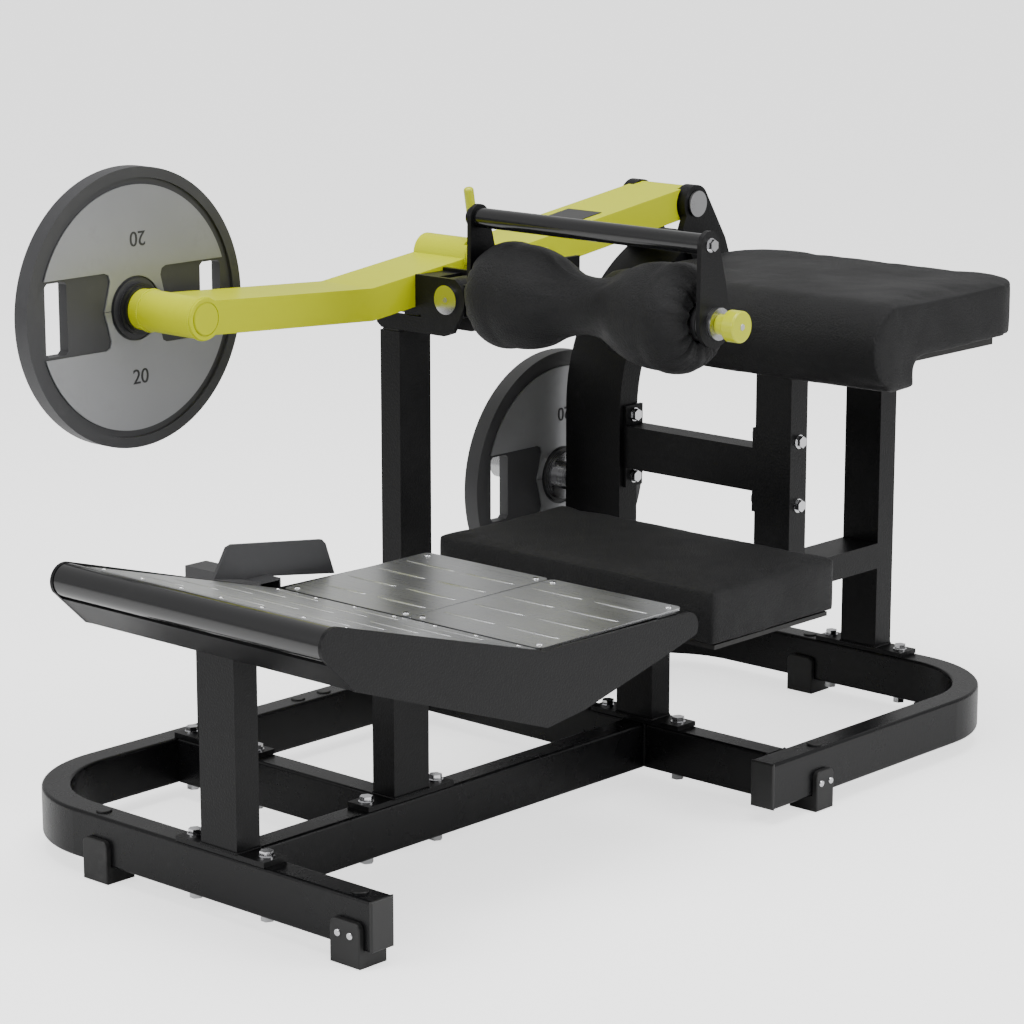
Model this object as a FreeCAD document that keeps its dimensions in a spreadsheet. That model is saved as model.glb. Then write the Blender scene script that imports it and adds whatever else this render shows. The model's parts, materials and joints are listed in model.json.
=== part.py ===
"""Plate-loaded hip thrust machine: a bent-tube base with posts, a tilted foot platform, a seat and a
back pad, and a side lever arm that carries a swing-away padded hip roller.

The machine frame has X across the user (X = 0 is the user's centre plane), Y from the foot platform to
the back pad (Y = 0 is the front face of the front base tube) and Z up from the floor. Every sub-part is
then placed so that the document's origin lies on the floor under the middle of the whole machine.
"""
import FreeCAD, Part
import math
import os

import Sketcher

V = FreeCAD.Vector
doc = FreeCAD.newDocument("hip_thrust_machine")

# ---------------------------------------------------------------- driving dimensions
SIZES = {
    # whole machine
    "origin_x": -202.75, "origin_y": 773.35,
    # base: rectangular tube on rubber feet
    "tube_wide": 45, "tube_tall": 75, "tube_wall": 3, "tube_round": 5, "foot_high": 25,
    "base_left": -522, "base_right": 320, "front_tube_end": 302, "base_rear": 1575,
    "bend_radius": 200, "rear_left_bend": 230, "right_tube_front": 880,
    "cross_beam_y": 351, "rear_cross_y": 918,
    # posts and flanges
    "flange_thick": 8, "flange_long": 185, "bolt_pitch": 150, "bolt_hole": 13, "bolt_shank": 12,
    "left_front_post_x": -430, "seat_post_y": 918, "pad_post_front_y": 1275, "pad_post_rear_y": 1530,
    "pad_post_top": 668, "rest_post_y": 866, "rest_post_top": 695,
    # foot platform
    "deck_half": 268, "deck_front": 384, "deck_rear": 713, "deck_top": 376, "deck_thick": 4,
    "toe_bar_y": -38, "toe_bar_z": 466, "toe_bar_radius": 25, "toe_bar_half": 273.8,
    "cheek_thick": 6, "rail_size": 45,
    # seat
    "seat_rail_z": 252, "seat_rail_tall": 45, "seat_rail_front": 795, "seat_half": 298, "seat_middle": -8,
    "seat_front": 764, "seat_rear": 1082, "seat_bottom": 304, "seat_top": 392, "board_thick": 14,
    # back pad
    "pad_half": 303, "pad_front": 1138, "pad_step": 1266, "pad_rear": 1611,
    "pad_low": 638, "pad_slab_low": 690, "pad_top": 783, "pad_corner": 110,
    # brace and curved upright
    "brace_z": 420, "upright_left": -455, "upright_wide": 125, "upright_y": 1265, "upright_deep": 47,
    "upright_bend_z": 518, "upright_bend": 297, "upright_turn": 80,
    # rear pivot of the lever arm
    "pivot_y": 1455, "pivot_z": 869, "pivot_shaft": 30, "clevis_thick": 12, "clevis_boss": 66,
    "pivot_tube": 60, "pivot_tube_left": -442, "pivot_tube_right": -343,
    # lever arm
    "arm_x": -499.5, "arm_wide": 120, "arm_tall": 54, "arm_bend_y": 766, "arm_bend_z": 784,
    "arm_end_y": 1018, "arm_end_z": 813.5, "horn_y": 391, "horn_z": 779, "horn_tube": 66,
    "horn_tube_left": -580, "horn_tube_right": -434, "rear_arm_x": -392.5,
    "rear_arm_front_z": 840, "rear_arm_rear_z": 899,
    "sleeve_z": 808, "sleeve_radius": 32, "sleeve_left": -559, "sleeve_right": -280, "sleeve_bore": 20,
    # weight horns and plates
    "horn_radius": 24.95, "plate_bore": 50.1, "plate_radius": 225, "plate_thick": 30,
    "load_stop": -595, "load_horn_end": -742, "store_y": 1288, "store_z": 383,
    "store_stop": -483, "store_horn_end": -640,
    # swing hinge of the hip roller
    "hinge_x": -368, "hinge_z": 761, "hinge_plate": 8, "hinge_pin": 25, "hinge_head": 49,
    "hinge_round": 40, "barrel_radius": 35, "rest_gap": 1,
    # roller frame
    "link_x": 236, "link_thick": 8, "axis_y": 812, "axis_z": 796, "bar_y": 797, "bar_z": 917,
    "bar_radius": 16, "roller_shaft": 25, "roller_half": 224, "lobe_radius": 86, "lobe_x": 153,
    "waist_radius": 48, "roller_end_radius": 60, "core_radius": 30,
    # lock bolt and pull knob
    "lock_bolt": 16, "lock_travel": 30, "lever_x": -440, "knob_radius": 24.5, "knob_travel": 10,
}

sheet = doc.addObject("Spreadsheet::Sheet", "sizes")
for row, (alias, value) in enumerate(SIZES.items(), 1):
    sheet.set(f"A{row}", alias)
    sheet.set(f"B{row}", str(value))
    sheet.setAlias(f"B{row}", alias)
doc.recompute()


def size(alias):
    """The value of one spreadsheet cell."""
    return float(sheet.get(alias))


# ---------------------------------------------------------------- building helpers
PLANES = {"XY": "XY_Plane", "XZ": "XZ_Plane", "YZ": "YZ_Plane"}
SHIFT = V(-size("origin_x"), -size("origin_y"), 0)
parts = []


def keep(obj, label):
    """Name a finished sub-part, place it in the machine's frame and list it for writing."""
    obj.Label = label
    obj.Placement = FreeCAD.Placement(SHIFT + obj.Placement.Base, obj.Placement.Rotation)
    parts.append(obj)
    return obj


def new_body(label):
    body = doc.addObject("PartDesign::Body", label)
    return body


def new_sketch(body, plane, name, offset=0.0):
    """A sketch on one of the body's own origin planes, moved along that plane's normal."""
    sketch = body.newObject("Sketcher::SketchObject", name)
    origin_plane = next(f for f in body.Origin.OriginFeatures if f.Role == PLANES[plane])
    sketch.AttachmentSupport = [(origin_plane, "")]
    sketch.MapMode = "FlatFace"
    sketch.AttachmentOffset = FreeCAD.Placement(V(0, 0, offset), FreeCAD.Rotation())
    return sketch


def close_loop(sketch, first, last):
    """Join each edge of a loop to the next at the ends that meet."""
    for index in range(first, last + 1):
        following = index + 1 if index < last else first
        ends = [(sketch.getPoint(index, own).distanceToPoint(sketch.getPoint(following, other)), own, other)
                for own in (1, 2) for other in (1, 2)]
        gap, own, other = min(ends)
        if gap > 0.01:
            raise RuntimeError(f"{sketch.Name}: edge {index} doesn't meet the next ({gap:.2f} mm)")
        sketch.addConstraint(Sketcher.Constraint("Coincident", index, own, following, other))


def add_polygon(sketch, points):
    """A closed loop of straight edges."""
    first = sketch.GeometryCount
    for start, end in zip(points, points[1:] + points[:1]):
        sketch.addGeometry(Part.LineSegment(V(*start, 0), V(*end, 0)))
    close_loop(sketch, first, sketch.GeometryCount - 1)


def add_rectangle(sketch, left, low, wide, tall, wide_size=None, tall_size=None):
    """An upright rectangle, its sides bound to the sheet where an expression is given."""
    first = sketch.GeometryCount
    add_polygon(sketch, [(left, low), (left + wide, low), (left + wide, low + tall), (left, low + tall)])
    for edge, direction in ((0, "Horizontal"), (1, "Vertical"), (2, "Horizontal"), (3, "Vertical")):
        sketch.addConstraint(Sketcher.Constraint(direction, first + edge))
    for edge, kind, value, expression in ((0, "DistanceX", wide, wide_size), (1, "DistanceY", tall, tall_size)):
        if expression:
            number = sketch.addConstraint(Sketcher.Constraint(kind, first + edge, 1, first + edge, 2, value))
            sketch.setExpression(f"Constraints[{number}]", expression)


def add_circle(sketch, x, y, radius, radius_size=None):
    """A circle, its radius bound to the sheet where an expression is given."""
    number = sketch.addGeometry(Part.Circle(V(x, y, 0), V(0, 0, 1), radius))
    if radius_size:
        constraint = sketch.addConstraint(Sketcher.Constraint("Radius", number, radius))
        sketch.setExpression(f"Constraints[{constraint}]", radius_size)


def add_wire(sketch, edges):
    """A closed loop of prepared lines and arcs, in order."""
    first = sketch.GeometryCount
    for edge in edges:
        sketch.addGeometry(edge)
    close_loop(sketch, first, sketch.GeometryCount - 1)


def arc3(start, middle, end):
    """An arc through three points of a sketch."""
    return Part.Arc(V(*start, 0), V(*middle, 0), V(*end, 0))


def line2(start, end):
    return Part.LineSegment(V(*start, 0), V(*end, 0))


def pad(body, sketch, length, expression=None, reverse=False):
    feature = body.newObject("PartDesign::Pad", sketch.Name + "_pad")
    feature.Profile = sketch
    feature.Length = length
    feature.Reversed = reverse
    if expression:
        feature.setExpression("Length", expression)
    doc.recompute()
    return feature


def pocket_through(body, sketch):
    """Cut a profile right through, both ways, and make sure that it cut something."""
    before = body.Shape.Volume
    feature = body.newObject("PartDesign::Pocket", sketch.Name + "_pocket")
    feature.Profile = sketch
    feature.SideType = "Symmetric"
    feature.Length = 8000
    doc.recompute()
    if body.Shape.Volume >= before - 0.1:
        raise RuntimeError(f"{sketch.Name} cut nothing")
    return feature


def drill(body, plane, points, radius, name):
    """Round holes right through a body, square to one of its origin planes."""
    sketch = new_sketch(body, plane, name)
    for x, y in points:
        add_circle(sketch, x, y, radius)
    return pocket_through(body, sketch)


def prism(label, plane, start, length, draw, expression=None):
    """A body padded from the sketch that draw() makes; start and length run along +X, +Y or +Z."""
    body = new_body(label)
    flip = plane == "XZ"
    sketch = new_sketch(body, plane, label + "_outline", -start if flip else start)
    draw(sketch)
    pad(body, sketch, length, expression, reverse=flip)
    return body


def tube(label, axis, start, length, low, size_a, size_b, expression=None):
    """A straight rectangular tube. low is its lowest corner across the axis; size_a and size_b name
    the cells that hold its two outer sizes, in the order of the axes that are left."""
    plane = {"X": "YZ", "Y": "XZ", "Z": "XY"}[axis]
    wide, tall, wall = size(size_a), size(size_b), size("tube_wall")

    def draw(sketch):
        add_rectangle(sketch, low[0], low[1], wide, tall, f"sizes.{size_a}", f"sizes.{size_b}")
        add_rectangle(sketch, low[0] + wall, low[1] + wall, wide - 2 * wall, tall - 2 * wall)

    return prism(label, plane, start, length, draw, expression)


def add_fillet(body, names, radius, name):
    """Round the named edges of a body's present shape."""
    base = body.Tip
    fillet = body.newObject("PartDesign::Fillet", f"{body.Name}_{name}")
    fillet.Base = (base, names)
    fillet.Radius = radius
    body.Tip = fillet
    doc.recompute()


def round_edges(body, radius, along):
    """Round the long outer edges that run along one axis."""
    direction = {"X": V(1, 0, 0), "Y": V(0, 1, 0), "Z": V(0, 0, 1)}[along]
    box = body.Shape.BoundBox
    lows = (box.XMin, box.YMin, box.ZMin)
    highs = (box.XMax, box.YMax, box.ZMax)
    names = []
    for number, edge in enumerate(body.Shape.Edges, 1):
        if not isinstance(edge.Curve, Part.Line):
            continue
        run = edge.Vertexes[-1].Point - edge.Vertexes[0].Point
        if run.Length < 1 or abs(run.normalize().dot(direction)) < 0.999:
            continue
        centre = edge.CenterOfMass
        across = [i for i in range(3) if abs(direction[i]) < 0.5]
        if all(min(abs(centre[i] - lows[i]), abs(centre[i] - highs[i])) < 0.01 for i in across):
            names.append(f"Edge{number}")
    add_fillet(body, names, radius, "round")


def cylinder(name, base, axis, radius, length, radius_size=None):
    """A Part cylinder from a base point along an axis."""
    obj = doc.addObject("Part::Cylinder", name)
    obj.Radius = radius
    obj.Height = length
    if radius_size:
        obj.setExpression("Radius", radius_size)
    turn = FreeCAD.Rotation(V(0, 0, 1), V(*axis))
    obj.Placement = FreeCAD.Placement(V(*base), turn)
    return obj


def block(name, low, sides):
    obj = doc.addObject("Part::Box", name)
    obj.Length, obj.Width, obj.Height = sides
    obj.Placement.Base = V(*low)
    return obj


def cut(name, base, tool):
    obj = doc.addObject("Part::Cut", name)
    obj.Base = base
    obj.Tool = tool
    return obj


def fuse(name, shapes):
    obj = doc.addObject("Part::MultiFuse", name)
    obj.Shapes = shapes
    obj.Refine = True
    return obj


def ring(label, base, axis, outer, inner, length):
    """A plain bush, collar or washer."""
    outside = cylinder(label + "_outside", base, axis, outer, length)
    start = V(*base) - V(*axis) * 1
    inside = cylinder(label + "_inside", tuple(start), axis, inner, length + 2)
    return cut(label, outside, inside)


def group(label, solids):
    """Identical fasteners or small parts kept together as separate solids of one sub-part."""
    feature = doc.addObject("Part::Feature", label)
    feature.Shape = Part.makeCompound(solids)
    return keep(feature, label)


def together(label, objects):
    """Pieces that are welded or fixed in one assembly, kept as separate solids of one sub-part."""
    compound = doc.addObject("Part::Compound", label)
    compound.Links = objects
    doc.recompute()
    return keep(compound, label)


def hex_prism(centre, axis, across_flats, height):
    """A hexagon of the given size across its flats, standing on centre along axis."""
    corner = across_flats / math.sqrt(3)
    points = [V(corner * math.cos(math.radians(60 * i)), corner * math.sin(math.radians(60 * i)), 0)
              for i in range(7)]
    solid = Part.Face(Part.makePolygon(points)).extrude(V(0, 0, height))
    solid.Placement = FreeCAD.Placement(V(*centre), FreeCAD.Rotation(V(0, 0, 1), V(*axis)))
    return solid


def bolt(seat, axis, grip, shank=12.0, nut=True):
    """A hexagon bolt with its washer on the seat point, its shank going back through the grip and a
    nut on the far side. axis points from the seat out through the head."""
    out = V(*axis)
    seat = V(*seat)
    solid = Part.makeCylinder(shank, 2, seat, out)
    solid = solid.fuse(hex_prism(tuple(seat + out * 2), axis, 1.5 * shank, 0.62 * shank))
    solid = solid.fuse(Part.makeCylinder(shank / 2, grip, seat - out * grip, out))
    if nut:
        far = seat - out * grip
        solid = solid.fuse(Part.makeCylinder(shank, 2, far - out * 2, out))
        solid = solid.fuse(hex_prism(tuple(far - out * 12), axis, 1.5 * shank, 10))
    return solid.removeSplitter()


# ---------------------------------------------------------------- base
WIDE, TALL = size("tube_wide"), size("tube_tall")
FOOT = size("foot_high")
BASE_TOP = FOOT + TALL
LEFT, RIGHT, REAR = size("base_left"), size("base_right"), size("base_rear")
BEND, REAR_BEND = size("bend_radius"), size("rear_left_bend")
PITCH = size("bolt_pitch") / 2
BOLT_R = size("bolt_hole") / 2

# where each post's flange is bolted down: centre of the post and the axis that its two bolts lie along
FLANGES = {
    "front": (0, WIDE / 2, "X"),
    "deck": (0, size("cross_beam_y") + WIDE / 2, "Y"),
    "left_front": (size("left_front_post_x") + TALL / 2, size("cross_beam_y") + WIDE / 2, "X"),
    "seat": (0, size("seat_post_y") + WIDE / 2, "X"),
    "pad_rear": (0, size("pad_post_rear_y") + WIDE / 2, "X"),
    "rest": (LEFT + WIDE / 2, size("rest_post_y") + TALL / 2, "Y"),
}


def flange_holes(name):
    x, y, along = FLANGES[name]
    if along == "X":
        return [(x - PITCH, y), (x + PITCH, y)]
    return [(x, y - PITCH), (x, y + PITCH)]


def base_tube(label, axis, start, length, low, holes):
    """One straight tube of the base, drilled for the post bolts that pass through it."""
    low = (low, FOOT)
    body = tube(label, axis, start, length, low, "tube_wide", "tube_tall")
    round_edges(body, size("tube_round"), axis)
    points = [point for name in holes for point in flange_holes(name)]
    if points:
        drill(body, "XY", points, BOLT_R, label + "_bolt_holes")
    return keep(body, label)


def base_bend(label, centre, radius, start_angle):
    """A quarter bend of the base tube, turned about a vertical axis."""
    wall = size("tube_wall")
    inner = radius - WIDE
    body = new_body(label)
    sketch = new_sketch(body, "XZ", label + "_section")
    add_rectangle(sketch, inner, FOOT, WIDE, TALL, "sizes.tube_wide", "sizes.tube_tall")
    add_rectangle(sketch, inner + wall, FOOT + wall, WIDE - 2 * wall, TALL - 2 * wall)
    turn = body.newObject("PartDesign::Revolution", label + "_turn")
    turn.Profile = sketch
    turn.ReferenceAxis = (sketch, ["V_Axis"])
    turn.Angle = 90
    doc.recompute()
    names = []
    for number, edge in enumerate(body.Shape.Edges, 1):
        curve = edge.Curve
        if isinstance(curve, Part.Circle) and min(abs(curve.Radius - inner), abs(curve.Radius - radius)) < 0.01:
            names.append(f"Edge{number}")
    add_fillet(body, names, size("tube_round"), "round")
    body.Placement = FreeCAD.Placement(V(*centre, 0), FreeCAD.Rotation(V(0, 0, 1), start_angle))
    doc.recompute()
    return body


base_tube("base_front_tube", "X", LEFT + BEND, size("front_tube_end") - LEFT - BEND, 0, ["front"])
base_tube("base_left_tube", "Y", BEND, REAR - REAR_BEND - BEND, LEFT, ["rest"])
base_tube("base_rear_tube", "X", LEFT + REAR_BEND, RIGHT - BEND - LEFT - REAR_BEND, REAR - WIDE, ["pad_rear"])
base_tube("base_right_tube", "Y", size("right_tube_front"), REAR - BEND - size("right_tube_front"),
          RIGHT - WIDE, [])
base_tube("base_main_beam", "Y", WIDE, size("rear_cross_y") - WIDE, -WIDE / 2, ["deck"])
base_tube("base_cross_beam", "X", LEFT + WIDE, -WIDE / 2 - LEFT - WIDE, size("cross_beam_y"), ["left_front"])
base_tube("base_rear_cross_tube", "X", LEFT + WIDE, RIGHT - LEFT - 2 * WIDE, size("rear_cross_y"), ["seat"])

together("base_corner_bends", [
    base_bend("bend_front_left", (LEFT + BEND, BEND), BEND, 180),
    base_bend("bend_rear_left", (LEFT + REAR_BEND, REAR - REAR_BEND), REAR_BEND, 90),
    base_bend("bend_rear_right", (RIGHT - BEND, REAR - BEND), BEND, 0),
])

# short outrigger that carries the curved upright on the left base tube
UP_LEFT, UP_WIDE = size("upright_left"), size("upright_wide")
UP_Y, UP_DEEP = size("upright_y"), size("upright_deep")
base_tube("upright_outrigger", "X", LEFT + WIDE, UP_LEFT + UP_WIDE - LEFT - WIDE, UP_Y + 1, [])


def end_caps():
    """Black plastic caps that close the two open ends of the bent base tube."""
    wall = size("tube_wall")
    inner_wide, inner_tall = WIDE - 2 * wall - 0.4, TALL - 2 * wall - 0.4
    caps = []
    front_y = 0
    lid = Part.makeBox(4, WIDE, TALL, V(size("front_tube_end"), front_y, FOOT))
    plug = Part.makeBox(12, inner_wide, inner_tall, V(size("front_tube_end") - 12, wall + 0.2, FOOT + wall + 0.2))
    caps.append(lid.makeFillet(3, [e for e in lid.Edges if abs(e.CenterOfMass.x - size("front_tube_end") - 4) < 0.1])
                .fuse(plug))
    end = size("right_tube_front")
    lid = Part.makeBox(WIDE, 4, TALL, V(RIGHT - WIDE, end - 4, FOOT))
    plug = Part.makeBox(inner_wide, 12, inner_tall, V(RIGHT - WIDE + wall + 0.2, end, FOOT + wall + 0.2))
    caps.append(lid.makeFillet(3, [e for e in lid.Edges if abs(e.CenterOfMass.y - end + 4) < 0.1]).fuse(plug))
    return caps


caps_and_plugs = end_caps()

# rubber feet: a block under the tube with a flap up its outer face. Each row is the middle of the foot on
# the tube's outer face, and the direction that the flap faces.
# The last two values of a row are the flap's width and whether its two screws show.
FEET = [((-264, 0), (0, -1), 54, False), ((261, 0), (0, -1), 58, True), ((RIGHT, 1001), (1, 0), 44, True),
        ((-122, REAR - WIDE), (0, -1), 54, False), ((150, REAR), (0, 1), 54, False),
        ((LEFT, 1240), (-1, 0), 54, False)]
FLAP_THICK, FLAP_TALL, SOLE_DEEP = 9, 66, 54


def foot(spot, outward, wide, screwed):
    """One L-shaped rubber foot and the screws through its flap."""
    sole = Part.makeBox(SOLE_DEEP, wide, FOOT, V(FLAP_THICK - SOLE_DEEP, -wide / 2, 0))
    flap = Part.makeBox(FLAP_THICK, wide, FLAP_TALL, V(0, -wide / 2, 0))
    solid = sole.fuse(flap).removeSplitter()
    upright = [e for e in solid.Edges if e.BoundBox.ZMin > FLAP_TALL - 0.1 and e.BoundBox.YLength < 0.1]
    solid = solid.makeFillet(11, upright)
    front = [e for e in solid.Edges if e.BoundBox.XMin > FLAP_THICK - 0.1]
    solid = solid.makeFillet(2.5, front)
    screws = []
    for side in (-12, 12) if screwed else ():
        head = Part.makeCylinder(5.5, 3, V(FLAP_THICK, side, 46), V(1, 0, 0))
        screws.append(head.makeFillet(2, [head.Edges[0]]))
    turn = FreeCAD.Rotation(V(1, 0, 0), V(outward[0], outward[1], 0))
    placement = FreeCAD.Placement(V(spot[0], spot[1], 0), turn)
    for shape in [solid] + screws:
        shape.Placement = placement
    return solid, screws


feet = [foot(*row) for row in FEET]
group("rubber_feet", [solid for solid, _ in feet])
small_screws = [screw for _, screws in feet for screw in screws]

# round plastic plugs in the tube tops near the ends
PLUGS = [(-276, WIDE / 2), (262, WIDE / 2), (RIGHT - WIDE / 2, 1010), (-122, REAR - WIDE / 2),
         (LEFT + WIDE / 2, 640), (LEFT + WIDE / 2, 700)]
for x, y in PLUGS:
    disc = Part.makeCylinder(12, 2.5, V(x, y, BASE_TOP))
    rim = [e for e in disc.Edges if isinstance(e.Curve, Part.Circle) and e.CenterOfMass.z > BASE_TOP + 2]
    caps_and_plugs.append(disc.makeFillet(1.5, rim))


# ---------------------------------------------------------------- posts
def post(label, flange, wide_axis, top, head=None):
    """An upright rectangular tube welded on its base flange. wide_axis is the axis of its wide side;
    head is (low corner, sides) of a plate welded on its top."""
    x, y, along = FLANGES[flange]
    sides = (TALL, WIDE) if wide_axis == "X" else (WIDE, TALL)
    names = ("tube_tall", "tube_wide") if wide_axis == "X" else ("tube_wide", "tube_tall")
    thick = size("flange_thick")
    body = new_body(label)
    sketch = new_sketch(body, "XY", label + "_flange", BASE_TOP)
    flange_sides = (size("flange_long"), WIDE) if along == "X" else (WIDE, size("flange_long"))
    add_rectangle(sketch, x - flange_sides[0] / 2, y - flange_sides[1] / 2, *flange_sides)
    pad(body, sketch, thick, "sizes.flange_thick")
    drill(body, "XY", flange_holes(flange), BOLT_R, label + "_holes")
    sketch = new_sketch(body, "XY", label + "_tube", BASE_TOP + thick)
    wall = size("tube_wall")
    add_rectangle(sketch, x - sides[0] / 2, y - sides[1] / 2, *sides, *[f"sizes.{n}" for n in names])
    add_rectangle(sketch, x - sides[0] / 2 + wall, y - sides[1] / 2 + wall, sides[0] - 2 * wall, sides[1] - 2 * wall)
    pad(body, sketch, top - BASE_TOP - thick)
    if head:
        low, head_sides = head
        sketch = new_sketch(body, "XY", label + "_head", top)
        add_rectangle(sketch, *low, *head_sides)
        pad(body, sketch, 6)
    return keep(body, label)


RAIL = size("rail_size")
DECK_TOP = size("deck_top")
DECK_LOW = DECK_TOP - size("deck_thick")
RAIL_LOW = DECK_LOW - RAIL
MID_RAIL_Y = size("cross_beam_y")
FRONT_RAIL_LOW = 400
post("front_post", "front", "X", FRONT_RAIL_LOW)
post("deck_post", "deck", "Y", RAIL_LOW)
STUB_TOP = 389
post("left_front_post", "left_front", "X", STUB_TOP - RAIL)
post("seat_post", "seat", "X", size("seat_rail_z"))
POST_TOP = size("pad_post_top")
post("rear_pad_post", "pad_rear", "X", POST_TOP,
     ((-60, size("pad_post_rear_y") - 20), (120, WIDE + 40)))
REST_TOP = size("rest_post_top")
post("arm_rest_post", "rest", "Y", REST_TOP - 6,
     ((LEFT, size("rest_post_y")), (WIDE, TALL)))

# front post of the back pad, welded on the seat rail
SEAT_RAIL_TOP = size("seat_rail_z") + size("seat_rail_tall")
PAD_FRONT_POST_Y = size("pad_post_front_y")
BRACE_Z = size("brace_z")
BRACE_BOLTS = [BRACE_Z - 17, BRACE_Z + TALL + 18]
body = tube("front_pad_post", "Z", SEAT_RAIL_TOP, POST_TOP - SEAT_RAIL_TOP,
            (-TALL / 2, PAD_FRONT_POST_Y), "tube_tall", "tube_wide")
sketch = new_sketch(body, "XY", "front_pad_post_head", POST_TOP)
add_rectangle(sketch, -60, PAD_FRONT_POST_Y - 2, 120, WIDE + 40)
pad(body, sketch, 6)
drill(body, "YZ", [(PAD_FRONT_POST_Y + WIDE / 2, z) for z in BRACE_BOLTS], BOLT_R, "front_pad_post_holes")
keep(body, "front_pad_post")

# all the bolts that hold the flanges down
flange_bolts = []
for name in FLANGES:
    for x, y in flange_holes(name):
        flange_bolts.append(bolt((x, y, BASE_TOP + size("flange_thick")), (0, 0, 1),
                                 TALL + size("flange_thick")))


# ---------------------------------------------------------------- foot platform
DECK = size("deck_half")
DECK_FRONT, DECK_REAR = size("deck_front"), size("deck_rear")
TOE_Y, TOE_Z, TOE_R = size("toe_bar_y"), size("toe_bar_z"), size("toe_bar_radius")
CHEEK_THICK = size("cheek_thick")

# the toe panel climbs from the front of the flat deck to the top of the round toe bar
TOE_TOP = (TOE_Y + 4, TOE_Z + TOE_R - 2)
TOE_RUN = math.hypot(DECK_FRONT - TOE_TOP[0], TOE_TOP[1] - DECK_TOP)
TOE_NORMAL = ((TOE_TOP[1] - DECK_TOP) / TOE_RUN, (DECK_FRONT - TOE_TOP[0]) / TOE_RUN)


def toe_point(along, depth):
    """A point (y, z) on the toe panel, at a fraction from the deck to the toe bar and a depth below."""
    y = DECK_FRONT + (TOE_TOP[0] - DECK_FRONT) * along
    z = DECK_TOP + (TOE_TOP[1] - DECK_TOP) * along
    return (y - TOE_NORMAL[0] * depth, z - TOE_NORMAL[1] * depth)


def cheek_outline(sketch):
    """The side cheek: deep under the deck's front, rising to a rounded tip under the seat."""
    tip_radius = 24
    tip = (DECK_REAR - 2, DECK_LOW - tip_radius - 2)
    angle = math.radians(-35)
    tip_low = (tip[0] + tip_radius * math.cos(angle), tip[1] + tip_radius * math.sin(angle))
    tip_out = (tip[0] + tip_radius * math.cos(0.5), tip[1] + tip_radius * math.sin(0.5))
    start = (TOE_Y + 8, TOE_Z + TOE_R)
    low_front = (TOE_Y - 22, TOE_Z - 15)
    add_wire(sketch, [
        line2(start, toe_point(0, 1)),
        line2(toe_point(0, 1), (tip[0], tip[1] + tip_radius)),
        arc3((tip[0], tip[1] + tip_radius), tip_out, tip_low),
        line2(tip_low, (655, 312)),
        line2((655, 312), (474, 268)),
        line2((474, 268), (392, 258)),
        line2((392, 258), (0, 394)),
        line2((0, 394), low_front),
        arc3(low_front, (TOE_Y - 0.84 * TOE_R, TOE_Z + 0.62 * TOE_R), start),
    ])


together("platform_cheeks", [
    prism("cheek_right", "YZ", DECK + 6, CHEEK_THICK, cheek_outline, "sizes.cheek_thick"),
    prism("cheek_left", "YZ", -DECK - 6 - CHEEK_THICK, CHEEK_THICK, cheek_outline, "sizes.cheek_thick"),
])

# round toe bar between the cheeks' front ends
toe_half = size("toe_bar_half")
keep(ring("toe_bar", (-toe_half, TOE_Y, TOE_Z), (1, 0, 0), TOE_R, TOE_R - 3, 2 * toe_half), "toe_bar")
group("caps_and_plugs", caps_and_plugs)


def toe_panel_outline(sketch):
    """A sheet that follows the tilt and folds over the toe bar."""
    thick = 3
    add_polygon(sketch, [toe_point(0.015, 0), toe_point(0.93, 0), toe_point(0.93, thick), toe_point(0.015, thick)])


body = prism("toe_panel", "YZ", -DECK, 2 * DECK, toe_panel_outline)
keep(body, "toe_panel")
under_panel = prism("under_sheet", "YZ", -DECK - 5.5, 2 * DECK + 11, lambda sketch: add_polygon(sketch, [
    (TOE_Y - 9, TOE_Z - 27), (TOE_Y - 6.4, TOE_Z - 24.6), (3.5, 398), (386, 266), (386, 263), (0, 394.5)]))
post_holes = fuse("under_panel_post_holes", [
    block("under_panel_front_hole", (-TALL / 2 - 0.5, -0.5, 200), (TALL + 1, WIDE + 1, 260)),
    block("under_panel_deck_hole", (-WIDE / 2 - 0.5, MID_RAIL_Y + WIDE / 2 - TALL / 2 - 0.5, 200),
          (WIDE + 1, TALL + 1, 260)),
])
keep(cut("under_panel", under_panel, post_holes), "under_panel")

PANEL_ROUND = 12
PANEL_GAP = 3


def deck_panel(label, left):
    """One flat aluminium deck panel with pressed grip ribs and four corner screw holes."""
    wide = DECK - PANEL_GAP / 2
    deep = DECK_REAR - DECK_FRONT - 4
    low_y = DECK_FRONT + 4
    body = prism(label, "XY", DECK_LOW, size("deck_thick"),
                 lambda sketch: add_rectangle(sketch, left, low_y, wide, deep), "sizes.deck_thick")
    round_edges(body, PANEL_ROUND, "Z")
    corners = [(left + x, low_y + y) for x in (16, wide - 16) for y in (16, deep - 16)]
    drill(body, "XY", corners, 3.2, label + "_screw_holes")
    return body, corners


left_panel, left_spots = deck_panel("deck_panel_left", -DECK)
right_panel, right_spots = deck_panel("deck_panel_right", PANEL_GAP / 2)
together("deck_panels", [left_panel, right_panel])
screw_spots = left_spots + right_spots
for x, y in screw_spots:
    shank = Part.makeCylinder(2.9, size("deck_thick") + 0.2, V(x, y, DECK_LOW - 0.1))
    head = Part.makeCylinder(5.5, 1.6, V(x, y, DECK_TOP))
    rim = [e for e in head.Edges if isinstance(e.Curve, Part.Circle) and e.CenterOfMass.z > DECK_TOP + 1]
    small_screws.append(head.makeFillet(1.2, rim).fuse(shank))
group("small_screws", small_screws)

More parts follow.
